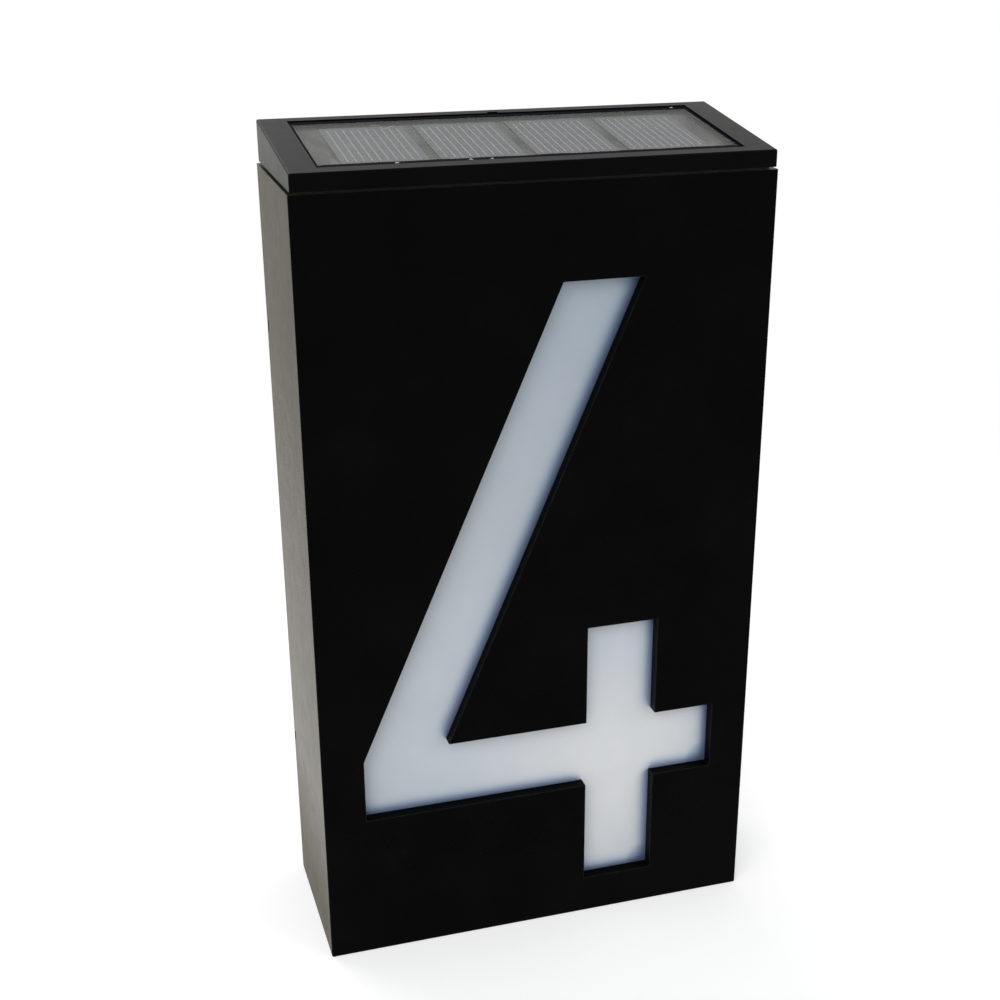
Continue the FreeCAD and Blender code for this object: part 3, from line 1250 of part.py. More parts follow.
# ---------------------------------------------------------------- the whole sign
def build():
    cover_screw = (SCREW_HEAD_RADIUS, SCREW_HEAD_HEIGHT, SCREW_RADIUS, COVER_SCREW_LENGTH)
    cap_screw = (SCREW_HEAD_RADIUS, SCREW_HEAD_HEIGHT, SCREW_RADIUS, CAP_SCREW_LENGTH)
    small = (SMALL_HEAD_RADIUS, SMALL_HEAD_HEIGHT, SMALL_SCREW_RADIUS)
    backward = (0, 1, 0)
    forward = (0, -1, 0)
    head_y = COVER_INNER_Y + COVER_HEAD_SEAT
    door_head_y = BACK_Y - DOOR_HEAD_RECESS
    return {
        "housing": housing(),
        "diffuser": diffuser(),
        "light_tray": light_tray(),
        "light_tray_screws": screws(
            [(x, TRAY_BACK_Y, z) for x, z in POST_PLACES], backward, small + (TRAY_SCREW_LENGTH,)
        ),
        "led_board": led_board(),
        "leds": leds(),
        "led_board_screws": screws(
            [(x, LED_BOARD_BACK_Y, z) for x, z in board_screw_places()], backward,
            small + (BOARD_SCREW_LENGTH,),
        ),
        "rear_cover": rear_cover(),
        "rear_cover_seal": rear_cover_seal(),
        "rear_cover_screws": screws(
            [(x, head_y, z) for x, z in COVER_SCREW_PLACES], backward, cover_screw
        ),
        "battery_cell": battery_cell(),
        "battery_spring": battery_spring(),
        "negative_contact": contact_plate(-1),
        "positive_contact": positive_contact(),
        "battery_door": battery_door(),
        "battery_door_seal": battery_door_seal(),
        "battery_door_screws": screws(
            [(side * DOOR_SCREW_X, door_head_y, BAY_CENTRE_Z) for side in (-1, 1)], backward,
            small + (DOOR_SCREW_LENGTH,),
        ),
        "control_board": control_board(),
        "control_board_screws": screws(
            [(x, CONTROL_FRONT_Y, z) for x, z in CONTROL_SCREW_PLACES], forward,
            small + (CONTROL_SCREW_LENGTH,),
        ),
        "control_chip": on_board(CHIP_SIZE, CHIP_PLACE),
        "charge_coil": charge_coil(),
        "capacitor": capacitor(),
        "resistors": Part.makeCompound([on_board(RESISTOR_SIZE, place) for place in RESISTOR_PLACES]),
        "switch_body": switch_body(),
        "switch_slider": switch_slider(),
        "wall_plate": wall_plate(),
        "wall_bumpers": wall_bumpers(),
        "top_cap": top_cap(),
        "cap_seal": cap_seal(),
        "cap_screws": screws(
            [(x, y, CEILING_Z) for x, y in CAP_SCREW_PLACES], (0, 0, -1), cap_screw
        ),
        "panel_tape": panel_tape(),
        "panel_board": panel_board(),
        "solar_cells": solar_cells(),
        "cell_fingers": cell_fingers(),
        "panel_resin": panel_resin(),
        "cable_grommet": cable_grommet(),
        "panel_lead_red": panel_lead(-1),
        "panel_lead_black": panel_lead(1),
        "led_lead_red": led_lead(-1),
        "led_lead_black": led_lead(1),
        "battery_lead_red": battery_lead(1),
        "battery_lead_black": battery_lead(-1),
    }


os.makedirs("parts", exist_ok=True)
for name, shape in build().items():
    if not shape.isValid():
        print("invalid shape:", name)
    shape.exportStep(f"parts/{name}.step")
    print(f"{name}: {len(shape.Solids)} solid(s), {shape.Volume:.1f} mm3")
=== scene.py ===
import json
import math

import bmesh
import bpy
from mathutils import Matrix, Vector
from mathutils import noise as mnoise

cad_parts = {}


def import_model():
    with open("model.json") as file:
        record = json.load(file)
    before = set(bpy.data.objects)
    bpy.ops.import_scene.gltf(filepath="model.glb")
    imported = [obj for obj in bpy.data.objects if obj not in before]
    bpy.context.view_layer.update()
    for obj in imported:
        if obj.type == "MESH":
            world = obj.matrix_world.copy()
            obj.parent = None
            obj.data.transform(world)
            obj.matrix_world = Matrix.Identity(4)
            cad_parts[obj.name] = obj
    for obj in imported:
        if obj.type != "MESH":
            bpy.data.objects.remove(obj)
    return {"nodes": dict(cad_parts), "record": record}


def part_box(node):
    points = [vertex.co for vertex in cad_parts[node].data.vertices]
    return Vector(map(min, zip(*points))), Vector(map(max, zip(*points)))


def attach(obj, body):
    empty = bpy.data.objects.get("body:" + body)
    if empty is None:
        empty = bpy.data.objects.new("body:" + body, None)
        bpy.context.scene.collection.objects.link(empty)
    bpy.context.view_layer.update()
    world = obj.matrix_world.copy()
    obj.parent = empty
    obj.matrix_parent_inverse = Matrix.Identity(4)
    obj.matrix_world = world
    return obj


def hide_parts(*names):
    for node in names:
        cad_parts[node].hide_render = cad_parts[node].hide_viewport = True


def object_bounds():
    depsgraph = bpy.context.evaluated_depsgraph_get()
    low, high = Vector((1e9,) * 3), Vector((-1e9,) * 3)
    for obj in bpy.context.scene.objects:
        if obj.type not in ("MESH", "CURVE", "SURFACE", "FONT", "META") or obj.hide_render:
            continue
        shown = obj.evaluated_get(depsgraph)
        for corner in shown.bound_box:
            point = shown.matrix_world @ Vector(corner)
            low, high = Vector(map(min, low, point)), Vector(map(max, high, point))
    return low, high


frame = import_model()
cad_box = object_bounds()

# Metres. X runs to the right seen from the front, Y from the front to the wall, Z up.
MM = 0.001


# ---------------------------------------------------------------- node helpers
SHELTER_SAMPLES = 16
EDGE_SAMPLES = 8
EDGE_TURN = (0.75, 0.99)         # cosines of the normal's turn from a sharp edge to a flat face


class Shader:
    """A material with one Principled shader, and short ways to add textures to it."""

    def __init__(self, name):
        self.material = bpy.data.materials.new(name)
        self.material.use_nodes = True
        tree = self.material.node_tree
        self.nodes = tree.nodes
        self.links = tree.links
        self.bsdf = self.nodes["Principled BSDF"]
        self.coords = self.nodes.new("ShaderNodeTexCoord").outputs["Object"]

    def value(self, **sockets):
        for name, value in sockets.items():
            self.bsdf.inputs[name.replace("_", " ")].default_value = value

    def link(self, output, node_input):
        self.links.new(output, node_input)

    def squeezed(self, scale):
        """Coordinates in which a texture is squeezed by a scale along each axis."""
        node = self.nodes.new("ShaderNodeMapping")
        node.inputs["Scale"].default_value = scale
        self.link(self.coords, node.inputs["Vector"])
        return node.outputs["Vector"]

    def noise(self, size, detail=3.0, rough=0.5, vector=None):
        """Noise from 0 to 1 whose features are about size metres across."""
        node = self.nodes.new("ShaderNodeTexNoise")
        node.inputs["Scale"].default_value = 1.0 / size
        node.inputs["Detail"].default_value = detail
        node.inputs["Roughness"].default_value = rough
        self.link(vector or self.coords, node.inputs["Vector"])
        return node.outputs["Fac"]

    def voronoi(self, size):
        """Patches about size metres across."""
        node = self.nodes.new("ShaderNodeTexVoronoi")
        node.inputs["Scale"].default_value = 1.0 / size
        self.link(self.coords, node.inputs["Vector"])
        return node

    def patches(self, size):
        """Distance from the middle of each patch, as a share of its size."""
        return self.voronoi(size).outputs["Distance"]

    def cells(self, size):
        """Patches with a grey of their own each, from 0 to 1."""
        parts = self.nodes.new("ShaderNodeSeparateColor")
        self.link(self.voronoi(size).outputs["Color"], parts.inputs[0])
        return parts.outputs[0]

    def ramp(self, output, stops):
        """stops is a list of (position, grey or colour)."""
        node = self.nodes.new("ShaderNodeValToRGB")
        elements = node.color_ramp.elements
        while len(elements) < len(stops):
            elements.new(0.5)
        for element, (position, colour) in zip(elements, stops):
            if not isinstance(colour, (tuple, list)):
                colour = (colour, colour, colour)
            element.position = position
            element.color = (*colour, 1.0)
        self.link(output, node.inputs["Fac"])
        return node.outputs["Color"]

    def span(self, output, low, high, from_low=0.3, from_high=0.7):
        """Stretches from_low to from_high over low to high, and holds it there outside."""
        node = self.nodes.new("ShaderNodeMapRange")
        node.inputs["From Min"].default_value = from_low
        node.inputs["From Max"].default_value = from_high
        node.inputs["To Min"].default_value = low
        node.inputs["To Max"].default_value = high
        self.link(output, node.inputs["Value"])
        return node.outputs["Result"]

    def math(self, operation, first, second):
        node = self.nodes.new("ShaderNodeMath")
        node.operation = operation
        for socket, value in zip(node.inputs, (first, second)):
            if isinstance(value, (int, float)):
                socket.default_value = value
            else:
                self.link(value, socket)
        return node.outputs["Value"]

    def mix(self, factor, first, second):
        node = self.nodes.new("ShaderNodeMix")
        node.data_type = "RGBA"
        for name, value in (("Factor", factor), ("A", first), ("B", second)):
            socket = [s for s in node.inputs if s.name == name and s.enabled][0]
            if isinstance(value, (int, float)):
                socket.default_value = value
            elif isinstance(value, (tuple, list)):
                socket.default_value = (*value, 1.0)
            else:
                self.link(value, socket)
        return [s for s in node.outputs if s.enabled][0]

    def times(self, first, second):
        """One colour times another."""
        node = self.nodes.new("ShaderNodeMix")
        node.data_type = "RGBA"
        node.blend_type = "MULTIPLY"
        sockets = {s.name: s for s in node.inputs if s.enabled}
        sockets["Factor"].default_value = 1.0
        self.link(first, sockets["A"])
        self.link(second, sockets["B"])
        return [s for s in node.outputs if s.enabled][0]

    def along(self, axis, low, high):
        """0 to 1 from one place to the other along an axis."""
        node = self.nodes.new("ShaderNodeSeparateXYZ")
        self.link(self.coords, node.inputs[0])
        return self.span(node.outputs[axis], 0.0, 1.0, low, high)

    def by_height(self, stops):
        """A grey that changes with height: stops is a list of (height in metres, grey)."""
        foot, top = cad_box[0][2], cad_box[1][2]
        shares = [((z - foot) / (top - foot), grey) for z, grey in stops]
        return self.ramp(self.along("Z", foot, top), shares)

    def distance(self, place, reach):
        """0 at a place to 1 at a reach from it."""
        node = self.nodes.new("ShaderNodeVectorMath")
        node.operation = "DISTANCE"
        self.link(self.coords, node.inputs[0])
        node.inputs[1].default_value = place
        return self.span(node.outputs["Value"], 0.0, 1.0, 0.0, reach)

    def shelter(self, lean, reach):
        """How open a point is to soft light from a side that leans off the surface's normal."""
        lean_node = self.nodes.new("ShaderNodeVectorMath")
        self.link(self.nodes.new("ShaderNodeNewGeometry").outputs["Normal"], lean_node.inputs[0])
        lean_node.inputs[1].default_value = lean
        unit = self.nodes.new("ShaderNodeVectorMath")
        unit.operation = "NORMALIZE"
        self.link(lean_node.outputs["Vector"], unit.inputs[0])
        node = self.nodes.new("ShaderNodeAmbientOcclusion")
        node.inputs["Distance"].default_value = reach
        node.samples = SHELTER_SAMPLES
        self.link(unit.outputs["Vector"], node.inputs["Normal"])
        return node.outputs["AO"]

    def edges(self, radius):
        """1 on sharp edges and corners, falling to 0 at a radius from them."""
        node = self.nodes.new("ShaderNodeBevel")
        node.samples = EDGE_SAMPLES
        node.inputs["Radius"].default_value = radius
        facing = self.nodes.new("ShaderNodeVectorMath")
        facing.operation = "DOT_PRODUCT"
        self.link(node.outputs["Normal"], facing.inputs[0])
        self.link(self.nodes.new("ShaderNodeNewGeometry").outputs["Normal"], facing.inputs[1])
        return self.span(facing.outputs["Value"], 1.0, 0.0, *EDGE_TURN)

    def bump(self, height, strength, distance):
        node = self.nodes.new("ShaderNodeBump")
        node.inputs["Strength"].default_value = strength
        node.inputs["Distance"].default_value = distance
        self.link(height, node.inputs["Height"])
        self.link(node.outputs["Normal"], self.bsdf.inputs["Normal"])

    def colour(self, output):
        self.link(output, self.bsdf.inputs["Base Color"])

    def roughness(self, output):
        self.link(output, self.bsdf.inputs["Roughness"])


# ---------------------------------------------------------------- materials
# Pale olive for sharp edges: partly wear, partly a painted edge highlight.
RUBBED_AND_HIGHLIT_BLACK = (0.030, 0.031, 0.020)
EDGE_WEAR_AND_HIGHLIGHT = 0.35 * MM
SEAM_CLEAR = (0.9 * MM, 1.5 * MM)      # over the housing's top, where the cap's wear and painted edge highlight set in
SEAM_UNDER = (0.5 * MM, 1.1 * MM)      # under it, where the housing's wear and painted edge highlight set in


def moulded_black(name, colour, rough, ior=1.10, glow=(1.0, 0.82, 0.42)):
    """Black moulded plastic with a fine spark texture, a little dust, and pale olive edges, partly
    wear and partly a painted edge highlight.

    The texture swallows what falls on it head on and shines only at a low angle, so its index is
    set low and a sheen is added, as dust gives; its warm tint is a painted reflection of warm
    light. It is smoothest about 40 mm above the ground.
    """
    s = Shader(name)
    dust = s.noise(22 * MM, 5.0, 0.6)
    fine = s.noise(0.35 * MM, 2.0)
    scuff = s.noise(3.5 * MM, 6.0, 0.7)
    pale = tuple(c * 2.2 + 0.0015 for c in colour)
    dusty = s.math("MULTIPLY", s.span(dust, 0.0, 1.0, 0.35, 0.75), s.span(fine, 0.3, 1.0))
    surface = s.mix(dusty, colour, pale)
    # pale olive edges, partly wear and partly a painted edge highlight, none along the seam
    rubbed_and_highlit = s.math("MULTIPLY", s.edges(EDGE_WEAR_AND_HIGHLIGHT), s.span(scuff, 0.15, 0.9, 0.35, 0.6))
    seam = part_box("housing")[1][2]
    over_seam = s.along("Z", *(seam + rise for rise in SEAM_CLEAR))
    under_seam = s.along("Z", *(seam - drop for drop in SEAM_UNDER))
    rubbed_and_highlit = s.math("MULTIPLY", rubbed_and_highlit, s.math("MAXIMUM", over_seam, under_seam))
    s.colour(s.mix(rubbed_and_highlit, surface, RUBBED_AND_HIGHLIT_BLACK))
    polish = s.by_height([(8 * MM, 0.36), (40 * MM, rough - 0.17), (150 * MM, rough - 0.04)])
    grainy = s.math("ADD", s.span(scuff, -0.03, 0.03), s.span(fine, -0.03, 0.03))
    s.roughness(s.math("ADD", polish, grainy))
    # the sheen's tint (glow) is a painted reflection of the light round the sign
    s.value(IOR=ior, Sheen_Weight=0.5, Sheen_Roughness=0.16, Sheen_Tint=(*glow, 1.0))
    s.bump(fine, 0.2, 0.03 * MM)
    return s


PAINTED_LIGHT_SPOT = (18 * MM, 36 * MM)       # across and up, on the sheet's front: the middle of the painted light
# Painted light: greys that the sheet's colour is multiplied by, at distances from the spot.
PAINTED_LIGHT_FADE = [
    (8 * MM, (1.0, 1.0, 1.0)),
    (33 * MM, (0.82, 0.85, 0.90)),
    (68 * MM, (0.65, 0.69, 0.745)),
    (115 * MM, (0.52, 0.59, 0.665)),
]
PAINTED_LIGHT_REACH = 130 * MM
# Painted shade along the numeral's walls: how far it reaches, and where its soft light leans from.
PAINTED_SHADE_REACH = 5 * MM
PAINTED_SHADE_LEAN = (0.6, 0.0, -0.6)            # the walls whose shade is painted on the sheet are to the right and below


def opal_sheet():
    """Milky sheet with painted light, brightest low on the right and darker away from there, and
    painted shade along the numeral's lower right walls.
    """
    s = Shader("opal_sheet")
    cloud = s.noise(9 * MM, 4.0)
    milk = s.mix(s.span(cloud, 0.0, 1.0), (0.80, 0.825, 0.85), (0.84, 0.86, 0.88))
    across, up = PAINTED_LIGHT_SPOT
    away = s.distance((across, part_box("diffuser")[0][1], up), PAINTED_LIGHT_REACH)
    # painted light, darker with distance from the spot
    painted_light = s.ramp(away, [(distance / PAINTED_LIGHT_REACH, colour) for distance, colour in PAINTED_LIGHT_FADE])
    # painted shade: dark blue where the numeral's lower right walls shelter the sheet
    painted_shade = s.ramp(
        s.shelter(PAINTED_SHADE_LEAN, PAINTED_SHADE_REACH),
        [
            (0.30, (0.13, 0.17, 0.29)),
            (0.50, (0.40, 0.49, 0.67)),
            (0.66, (0.82, 0.88, 0.95)),
            (0.80, (1.0, 1.0, 1.0)),
        ],
    )
    # the milk's colour times the painted light and the painted shade
    s.colour(s.times(s.times(milk, painted_light), painted_shade))
    s.roughness(s.span(s.noise(2.5 * MM), 0.36, 0.46))
    s.value(Subsurface_Weight=0.3, Subsurface_Scale=1.0 * MM, Subsurface_Radius=(1.0, 0.9, 0.8))
    s.bump(s.noise(1.2 * MM), 0.04, 0.02 * MM)
    return s


def white_plastic():
    s = Shader("white_reflector")
    s.colour(s.mix(s.span(s.noise(7 * MM, 4.0), 0.0, 1.0), (0.78, 0.78, 0.76), (0.86, 0.86, 0.84)))
    s.roughness(s.span(s.noise(1.5 * MM), 0.3, 0.45))
    return s


def circuit_board(name, colour, pale):
    s = Shader(name)
    weave = s.math("ADD", s.noise(0.5 * MM), s.noise(6 * MM))
    s.colour(s.mix(s.span(weave, 0.0, 1.0, 0.7, 1.3), colour, pale))
    s.roughness(s.span(s.noise(2 * MM), 0.28, 0.42))
    s.bump(s.noise(0.4 * MM), 0.15, 0.02 * MM)
    return s


STREAK_SQUEEZE = (1.0, 1.0, 30.0)      # squeezes noise along Z into streaks that lie level


def steel(name, colour, rough):
    """Plated steel: fine level streaks over a faint spangle."""
    s = Shader(name)
    lines = s.noise(1.6 * MM, 4.0, 0.6, s.squeezed(STREAK_SQUEEZE))
    cloud = s.noise(5 * MM, 5.0, 0.6)
    spangle = s.cells(3.5 * MM)
    tone = s.math("ADD", s.span(spangle, 0.0, 0.35, 0.0, 1.0), s.span(lines, 0.0, 0.35))
    tone = s.math("ADD", tone, s.span(cloud, 0.0, 0.3))
    s.colour(s.mix(tone, tuple(c * 0.70 for c in colour), colour))
    streaky = s.span(lines, rough - 0.06, rough + 0.06)
    s.roughness(s.math("ADD", streaky, s.span(spangle, -0.05, 0.05, 0.0, 1.0)))
    s.value(Metallic=1.0)
    s.bump(lines, 0.15, 0.02 * MM)
    return s


def rubber(name, colour):
    s = Shader(name)
    s.colour(s.mix(s.span(s.noise(4 * MM, 5.0), 0.0, 1.0), colour, tuple(c * 1.8 for c in colour)))
    s.roughness(s.span(s.noise(1.0 * MM), 0.68, 0.82))
    s.bump(s.noise(0.4 * MM), 0.3, 0.03 * MM)
    return s


def glossy_plastic(name, colour, rough=0.3):
    s = Shader(name)
    dark = tuple(c * 0.8 for c in colour)
    s.colour(s.mix(s.span(s.noise(3 * MM, 4.0), 0.0, 1.0), dark, colour))
    s.roughness(s.span(s.noise(1.2 * MM), rough - 0.05, rough + 0.08))
    s.bump(s.noise(0.8 * MM), 0.06, 0.02 * MM)
    return s


def silicon():
    """Blue-grey cell with faint crystal patches."""
    s = Shader("silicon")
    patch = s.patches(2.2 * MM)
    s.colour(s.mix(s.span(patch, 0.0, 1.0, 0.0, 0.8), (0.050, 0.060, 0.077), (0.064, 0.076, 0.096)))
    s.roughness(s.span(s.noise(0.8 * MM), 0.35, 0.5))
    return s


def silver_ink():
    s = Shader("silver_ink")
    s.colour(s.mix(s.span(s.noise(0.5 * MM), 0.0, 1.0), (0.36, 0.37, 0.39), (0.50, 0.51, 0.53)))
    s.roughness(s.span(s.noise(0.3 * MM), 0.4, 0.6))
    return s


def clear_resin():
    """Slightly hazy resin poured over the cells."""
    s = Shader("clear_resin")
    s.colour(s.mix(s.span(s.noise(6 * MM, 4.0), 0.0, 1.0), (0.24, 0.25, 0.23), (0.29, 0.30, 0.28)))
    s.roughness(s.span(s.noise(1.5 * MM), 0.24, 0.34))
    s.value(IOR=1.5, Alpha=0.22)
    return s


BLACK_BAND = 17 * MM                   # from the positive end
NUB_LENGTH = 1.8 * MM
FOOT_LENGTH = 0.4 * MM
SLEEVE_BLUR = 0.1 * MM


def cell_sleeve():
    """The cell's plain sleeve: green, black towards its positive end, with bare steel ends."""
    s = Shader("cell_sleeve")
    low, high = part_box("battery_cell")
    green = s.mix(s.span(s.noise(5 * MM), 0.0, 1.0), (0.03, 0.22, 0.10), (0.05, 0.30, 0.14))
    band = s.along("X", high[0] - BLACK_BAND - 2 * SLEEVE_BLUR, high[0] - BLACK_BAND)
    sleeve = s.mix(band, green, (0.012, 0.012, 0.013))
    nub = s.along("X", high[0] - NUB_LENGTH - SLEEVE_BLUR, high[0] - NUB_LENGTH)
    foot = s.along("X", low[0] + FOOT_LENGTH + SLEEVE_BLUR, low[0] + FOOT_LENGTH)
    bare = s.math("MAXIMUM", nub, foot)
    s.colour(s.mix(bare, sleeve, (0.66, 0.66, 0.64)))
    s.link(bare, s.bsdf.inputs["Metallic"])
    s.roughness(s.span(s.noise(2 * MM), 0.22, 0.34))
    return s


def dull_black(name, colour):
    """Black that doesn't shine even at a low angle, for beads and things deep in a slot."""
    s = rubber(name, colour)
    s.value(Specular_IOR_Level=0.03)
    return s


MATERIALS = {
    "black_abs": moulded_black("black_abs", (0.0004, 0.0004, 0.0004), 0.36),
    "cover_abs": moulded_black("cover_abs", (0.006, 0.006, 0.006), 0.5, 1.3),
    "opal_acrylic": opal_sheet(),
    "white_abs": white_plastic(),
    "white_board": circuit_board("white_board", (0.70, 0.72, 0.70), (0.80, 0.82, 0.80)),
    "green_board": circuit_board("green_board", (0.015, 0.10, 0.04), (0.03, 0.17, 0.07)),
    "led_package": glossy_plastic("led_package", (0.86, 0.78, 0.42)),
    "zinc_steel": steel("zinc_steel", (0.60, 0.61, 0.61), 0.36),
    "nickel_steel": steel("nickel_steel", (0.72, 0.70, 0.64), 0.28),
    "black_rubber": rubber("black_rubber", (0.02, 0.02, 0.02)),
    "grey_foam": rubber("grey_foam", (0.14, 0.14, 0.14)),
    "cell_wrap": cell_sleeve(),
    "chip_epoxy": glossy_plastic("chip_epoxy", (0.02, 0.02, 0.02), 0.5),
    "ferrite": glossy_plastic("ferrite", (0.09, 0.09, 0.10), 0.55),
    "capacitor_sleeve": glossy_plastic("capacitor_sleeve", (0.03, 0.05, 0.16)),
    "resistor_ceramic": glossy_plastic("resistor_ceramic", (0.06, 0.06, 0.06), 0.4),
    "switch_black": glossy_plastic("switch_black", (0.03, 0.03, 0.03), 0.45),
    "panel_black": circuit_board("panel_black", (0.085, 0.09, 0.075), (0.115, 0.12, 0.10)),
    "silicon": silicon(),
    "silver_ink": silver_ink(),
    "clear_resin": clear_resin(),
    "red_lead": glossy_plastic("red_lead", (0.55, 0.03, 0.02)),
    "black_lead": glossy_plastic("black_lead", (0.02, 0.02, 0.02)),
}

# The cap uses a copy of the housing's black with a cooler base and a greener sheen: a painted
# reflection of the cooler light its faces reflect.
# painted reflection: cooler sheen tint than the housing's
CAP_BLACK = moulded_black("cap_abs", (0.0006, 0.0007, 0.0006), 0.36, 1.11, (0.80, 0.90, 0.55))


def dress_nodes():
    """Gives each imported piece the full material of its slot."""
    slots = {part["node"]: part["material_slot"] for part in frame["record"]["subparts"]}
    for name, obj in frame["nodes"].items():
        shader = CAP_BLACK if name == "top_cap" else MATERIALS[slots[name]]
        material = shader.material
        if not obj.data.materials:
            obj.data.materials.append(material)
        for i in range(len(obj.material_slots)):
            obj.material_slots[i].material = material


dress_nodes()


# ---------------------------------------------------------------- pieces of the scene alone
def sweep(name, rings, closed=False, smooth=True):
    """A solid through rings of points, which all have as many points.

    A closed one runs back to its first ring, and any other has flat ends.
    """
    count = len(rings[0])
    points = [point for ring in rings for point in ring]
    faces = []
    for i in range(len(rings) if closed else len(rings) - 1):
        first = i * count
        second = (i + 1) % len(rings) * count
        for k in range(count):
            after = (k + 1) % count
            faces.append((first + k, first + after, second + after, second + k))
    if not closed:
        faces.append(tuple(reversed(range(count))))
        faces.append(tuple(range(len(points) - count, len(points))))
    mesh = bpy.data.meshes.new(name)
    mesh.from_pydata(points, [], faces)
    solid = bmesh.new()
    solid.from_mesh(mesh)
    bmesh.ops.recalc_face_normals(solid, faces=solid.faces)
    solid.to_mesh(mesh)
    solid.free()
    for face in mesh.polygons:
        face.use_smooth = smooth
    obj = bpy.data.objects.new(name, mesh)
    bpy.context.collection.objects.link(obj)
    return obj


def finished(obj, shader):
    """Gives a piece of the sign its material and its body."""
    obj.data.materials.append(shader.material)
    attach(obj, "sign")


class Panel:
    """Places on the sloped panel: u along X, v up the slope from its front, w above its face."""

    def __init__(self):
        mesh = frame["nodes"]["panel_resin"].data
        top = [face for face in mesh.polygons if face.normal.z > 0.9]
        self.normal = max(top, key=lambda face: face.area).normal.copy()
        self.up = Vector((0.0, self.normal.z, -self.normal.y))
        corners = [mesh.vertices[i].co for face in top for i in face.vertices]
        front = min(corners, key=lambda corner: corner.y)
        rear = max(corners, key=lambda corner: corner.y)
        self.front = Vector((0.0, front.y, front.z))
        self.length = (rear - self.front).dot(self.up)
        self.half_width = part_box("panel_resin")[1][0]

    def at(self, u, v, w):
        return self.front + Vector((u, 0.0, 0.0)) + self.up * v + self.normal * w


panel = Panel()


def uneven(point, size, amount):
    """1, give or take amount, in waves about size metres long."""
    return 1.0 + amount * mnoise.noise(point / size)


PANEL_GAP = 0.55 * MM            # between the panel and its recess
BEAD_CLEAR = 0.01 * MM           # between the bead and the recess's wall
BEAD_SKIN = 0.02 * MM            # between the bead and the panel's side
BEAD_LIP = 0.004 * MM            # thickness of the bead's edge on the panel
BEAD_STEP = 1.5 * MM
BEAD_FOOT = -0.4 * MM
# How far the bead laps onto the panel, and how high it stands over it.
BEAD_FRONT = (1.9 * MM, 0.28 * MM)
BEAD_REAR = (1.25 * MM, 0.12 * MM)
BEAD_SIDE = (0.15 * MM, 0.06 * MM)


def panel_bead():
    """A dull blue-black bead that fills the gap round the panel and laps onto its edges, uneven
    like a hand-laid bead: painted shade for the dark shadow in the gap.
    """
    half, length = panel.half_width, panel.length
    sides = [
        ((-half, 0.0), (half, 0.0), (0, -1), BEAD_FRONT),
        ((half, 0.0), (half, length), (1, 0), BEAD_SIDE),
        ((half, length), (-half, length), (0, 1), BEAD_REAR),
        ((-half, length), (-half, 0.0), (-1, 0), BEAD_SIDE),
    ]
    rings = []
    for i, (start, end, out, (lap, rise)) in enumerate(sides):
        before_out, (before_lap, before_rise) = sides[i - 1][2:]
        run = math.dist(start, end)
        steps = round(run / BEAD_STEP)
        for k in range(steps):
            share = k / steps
            u = start[0] + (end[0] - start[0]) * share
            v = start[1] + (end[1] - start[1]) * share
            laps = Vector(out) * lap
            outward = Vector(out)
            height = rise
            if k == 0:
                laps += Vector(before_out) * before_lap
                outward += Vector(before_out)
                height = (rise + before_rise) / 2
            place = Vector((u, v, 0.0))
            wave = uneven(place, 6 * MM, 0.2)
            height *= uneven(place, 9 * MM, 0.15)
            gap = outward * (PANEL_GAP - BEAD_CLEAR)
            profile = [
                (-laps * wave, BEAD_LIP),
                (-laps * wave * 0.88, height * 0.75),
                (-laps * wave * 0.6, height * 0.97),
                (gap * 0.5, height),
                (gap, height * 0.9),
                (gap, BEAD_FOOT),
                (outward * BEAD_SKIN, BEAD_FOOT),
                (outward * BEAD_SKIN, 0.0),
            ]
            rings.append([panel.at(u + across[0], v + across[1], w) for across, w in profile])
    bead = sweep("panel_bead", rings, closed=True)
    # painted shade: blue-black and dull, as dark as the gap's shadow
    finished(bead, dull_black("gap_shade_black", (0.001, 0.001, 0.005)))


# Place across and up the panel, and radius, in millimetres.
SPECKS = [(-28.6, 0.35, 0.30), (-13.8, 0.30, 0.34), (-9.5, 0.15, 0.26), (40.9, 31.9, 0.28)]


def glue_specks():
    """Bits of cured glue that stayed on the bead."""
    lumps = bmesh.new()
    for u, v, radius in SPECKS:
        made = bmesh.ops.create_icosphere(lumps, subdivisions=2, radius=radius * MM)["verts"]
        crest = BEAD_FRONT[1] if v * MM < panel.length / 2 else BEAD_REAR[1]
        middle = panel.at(u * MM, v * MM, crest)
        for vert in made:
            lump = uneven(vert.co + middle, 0.3 * MM, 0.5)
            vert.co = middle + Vector((vert.co.x * 1.3, vert.co.y, vert.co.z * 0.5)) * lump
    mesh = bpy.data.meshes.new("glue_specks")
    lumps.to_mesh(mesh)
    lumps.free()
    obj = bpy.data.objects.new("glue_specks", mesh)
    bpy.context.collection.objects.link(obj)
    finished(obj, glossy_plastic("cured_glue", (0.50, 0.49, 0.44), 0.4))


LINES_PER_CELL = 10
LINE_WIDTH = 0.28 * MM
LINE_TOP = -0.475 * MM           # a hair under the roof of the resin's rooms
LINE_FOOT = -0.5 * MM            # the cells' top
LINE_INSET = 1.5 * MM            # from the cell's edge
LINE_STEPS = 12
CELL_COUNT = 4
CELL_SPACE = 2.3 * MM


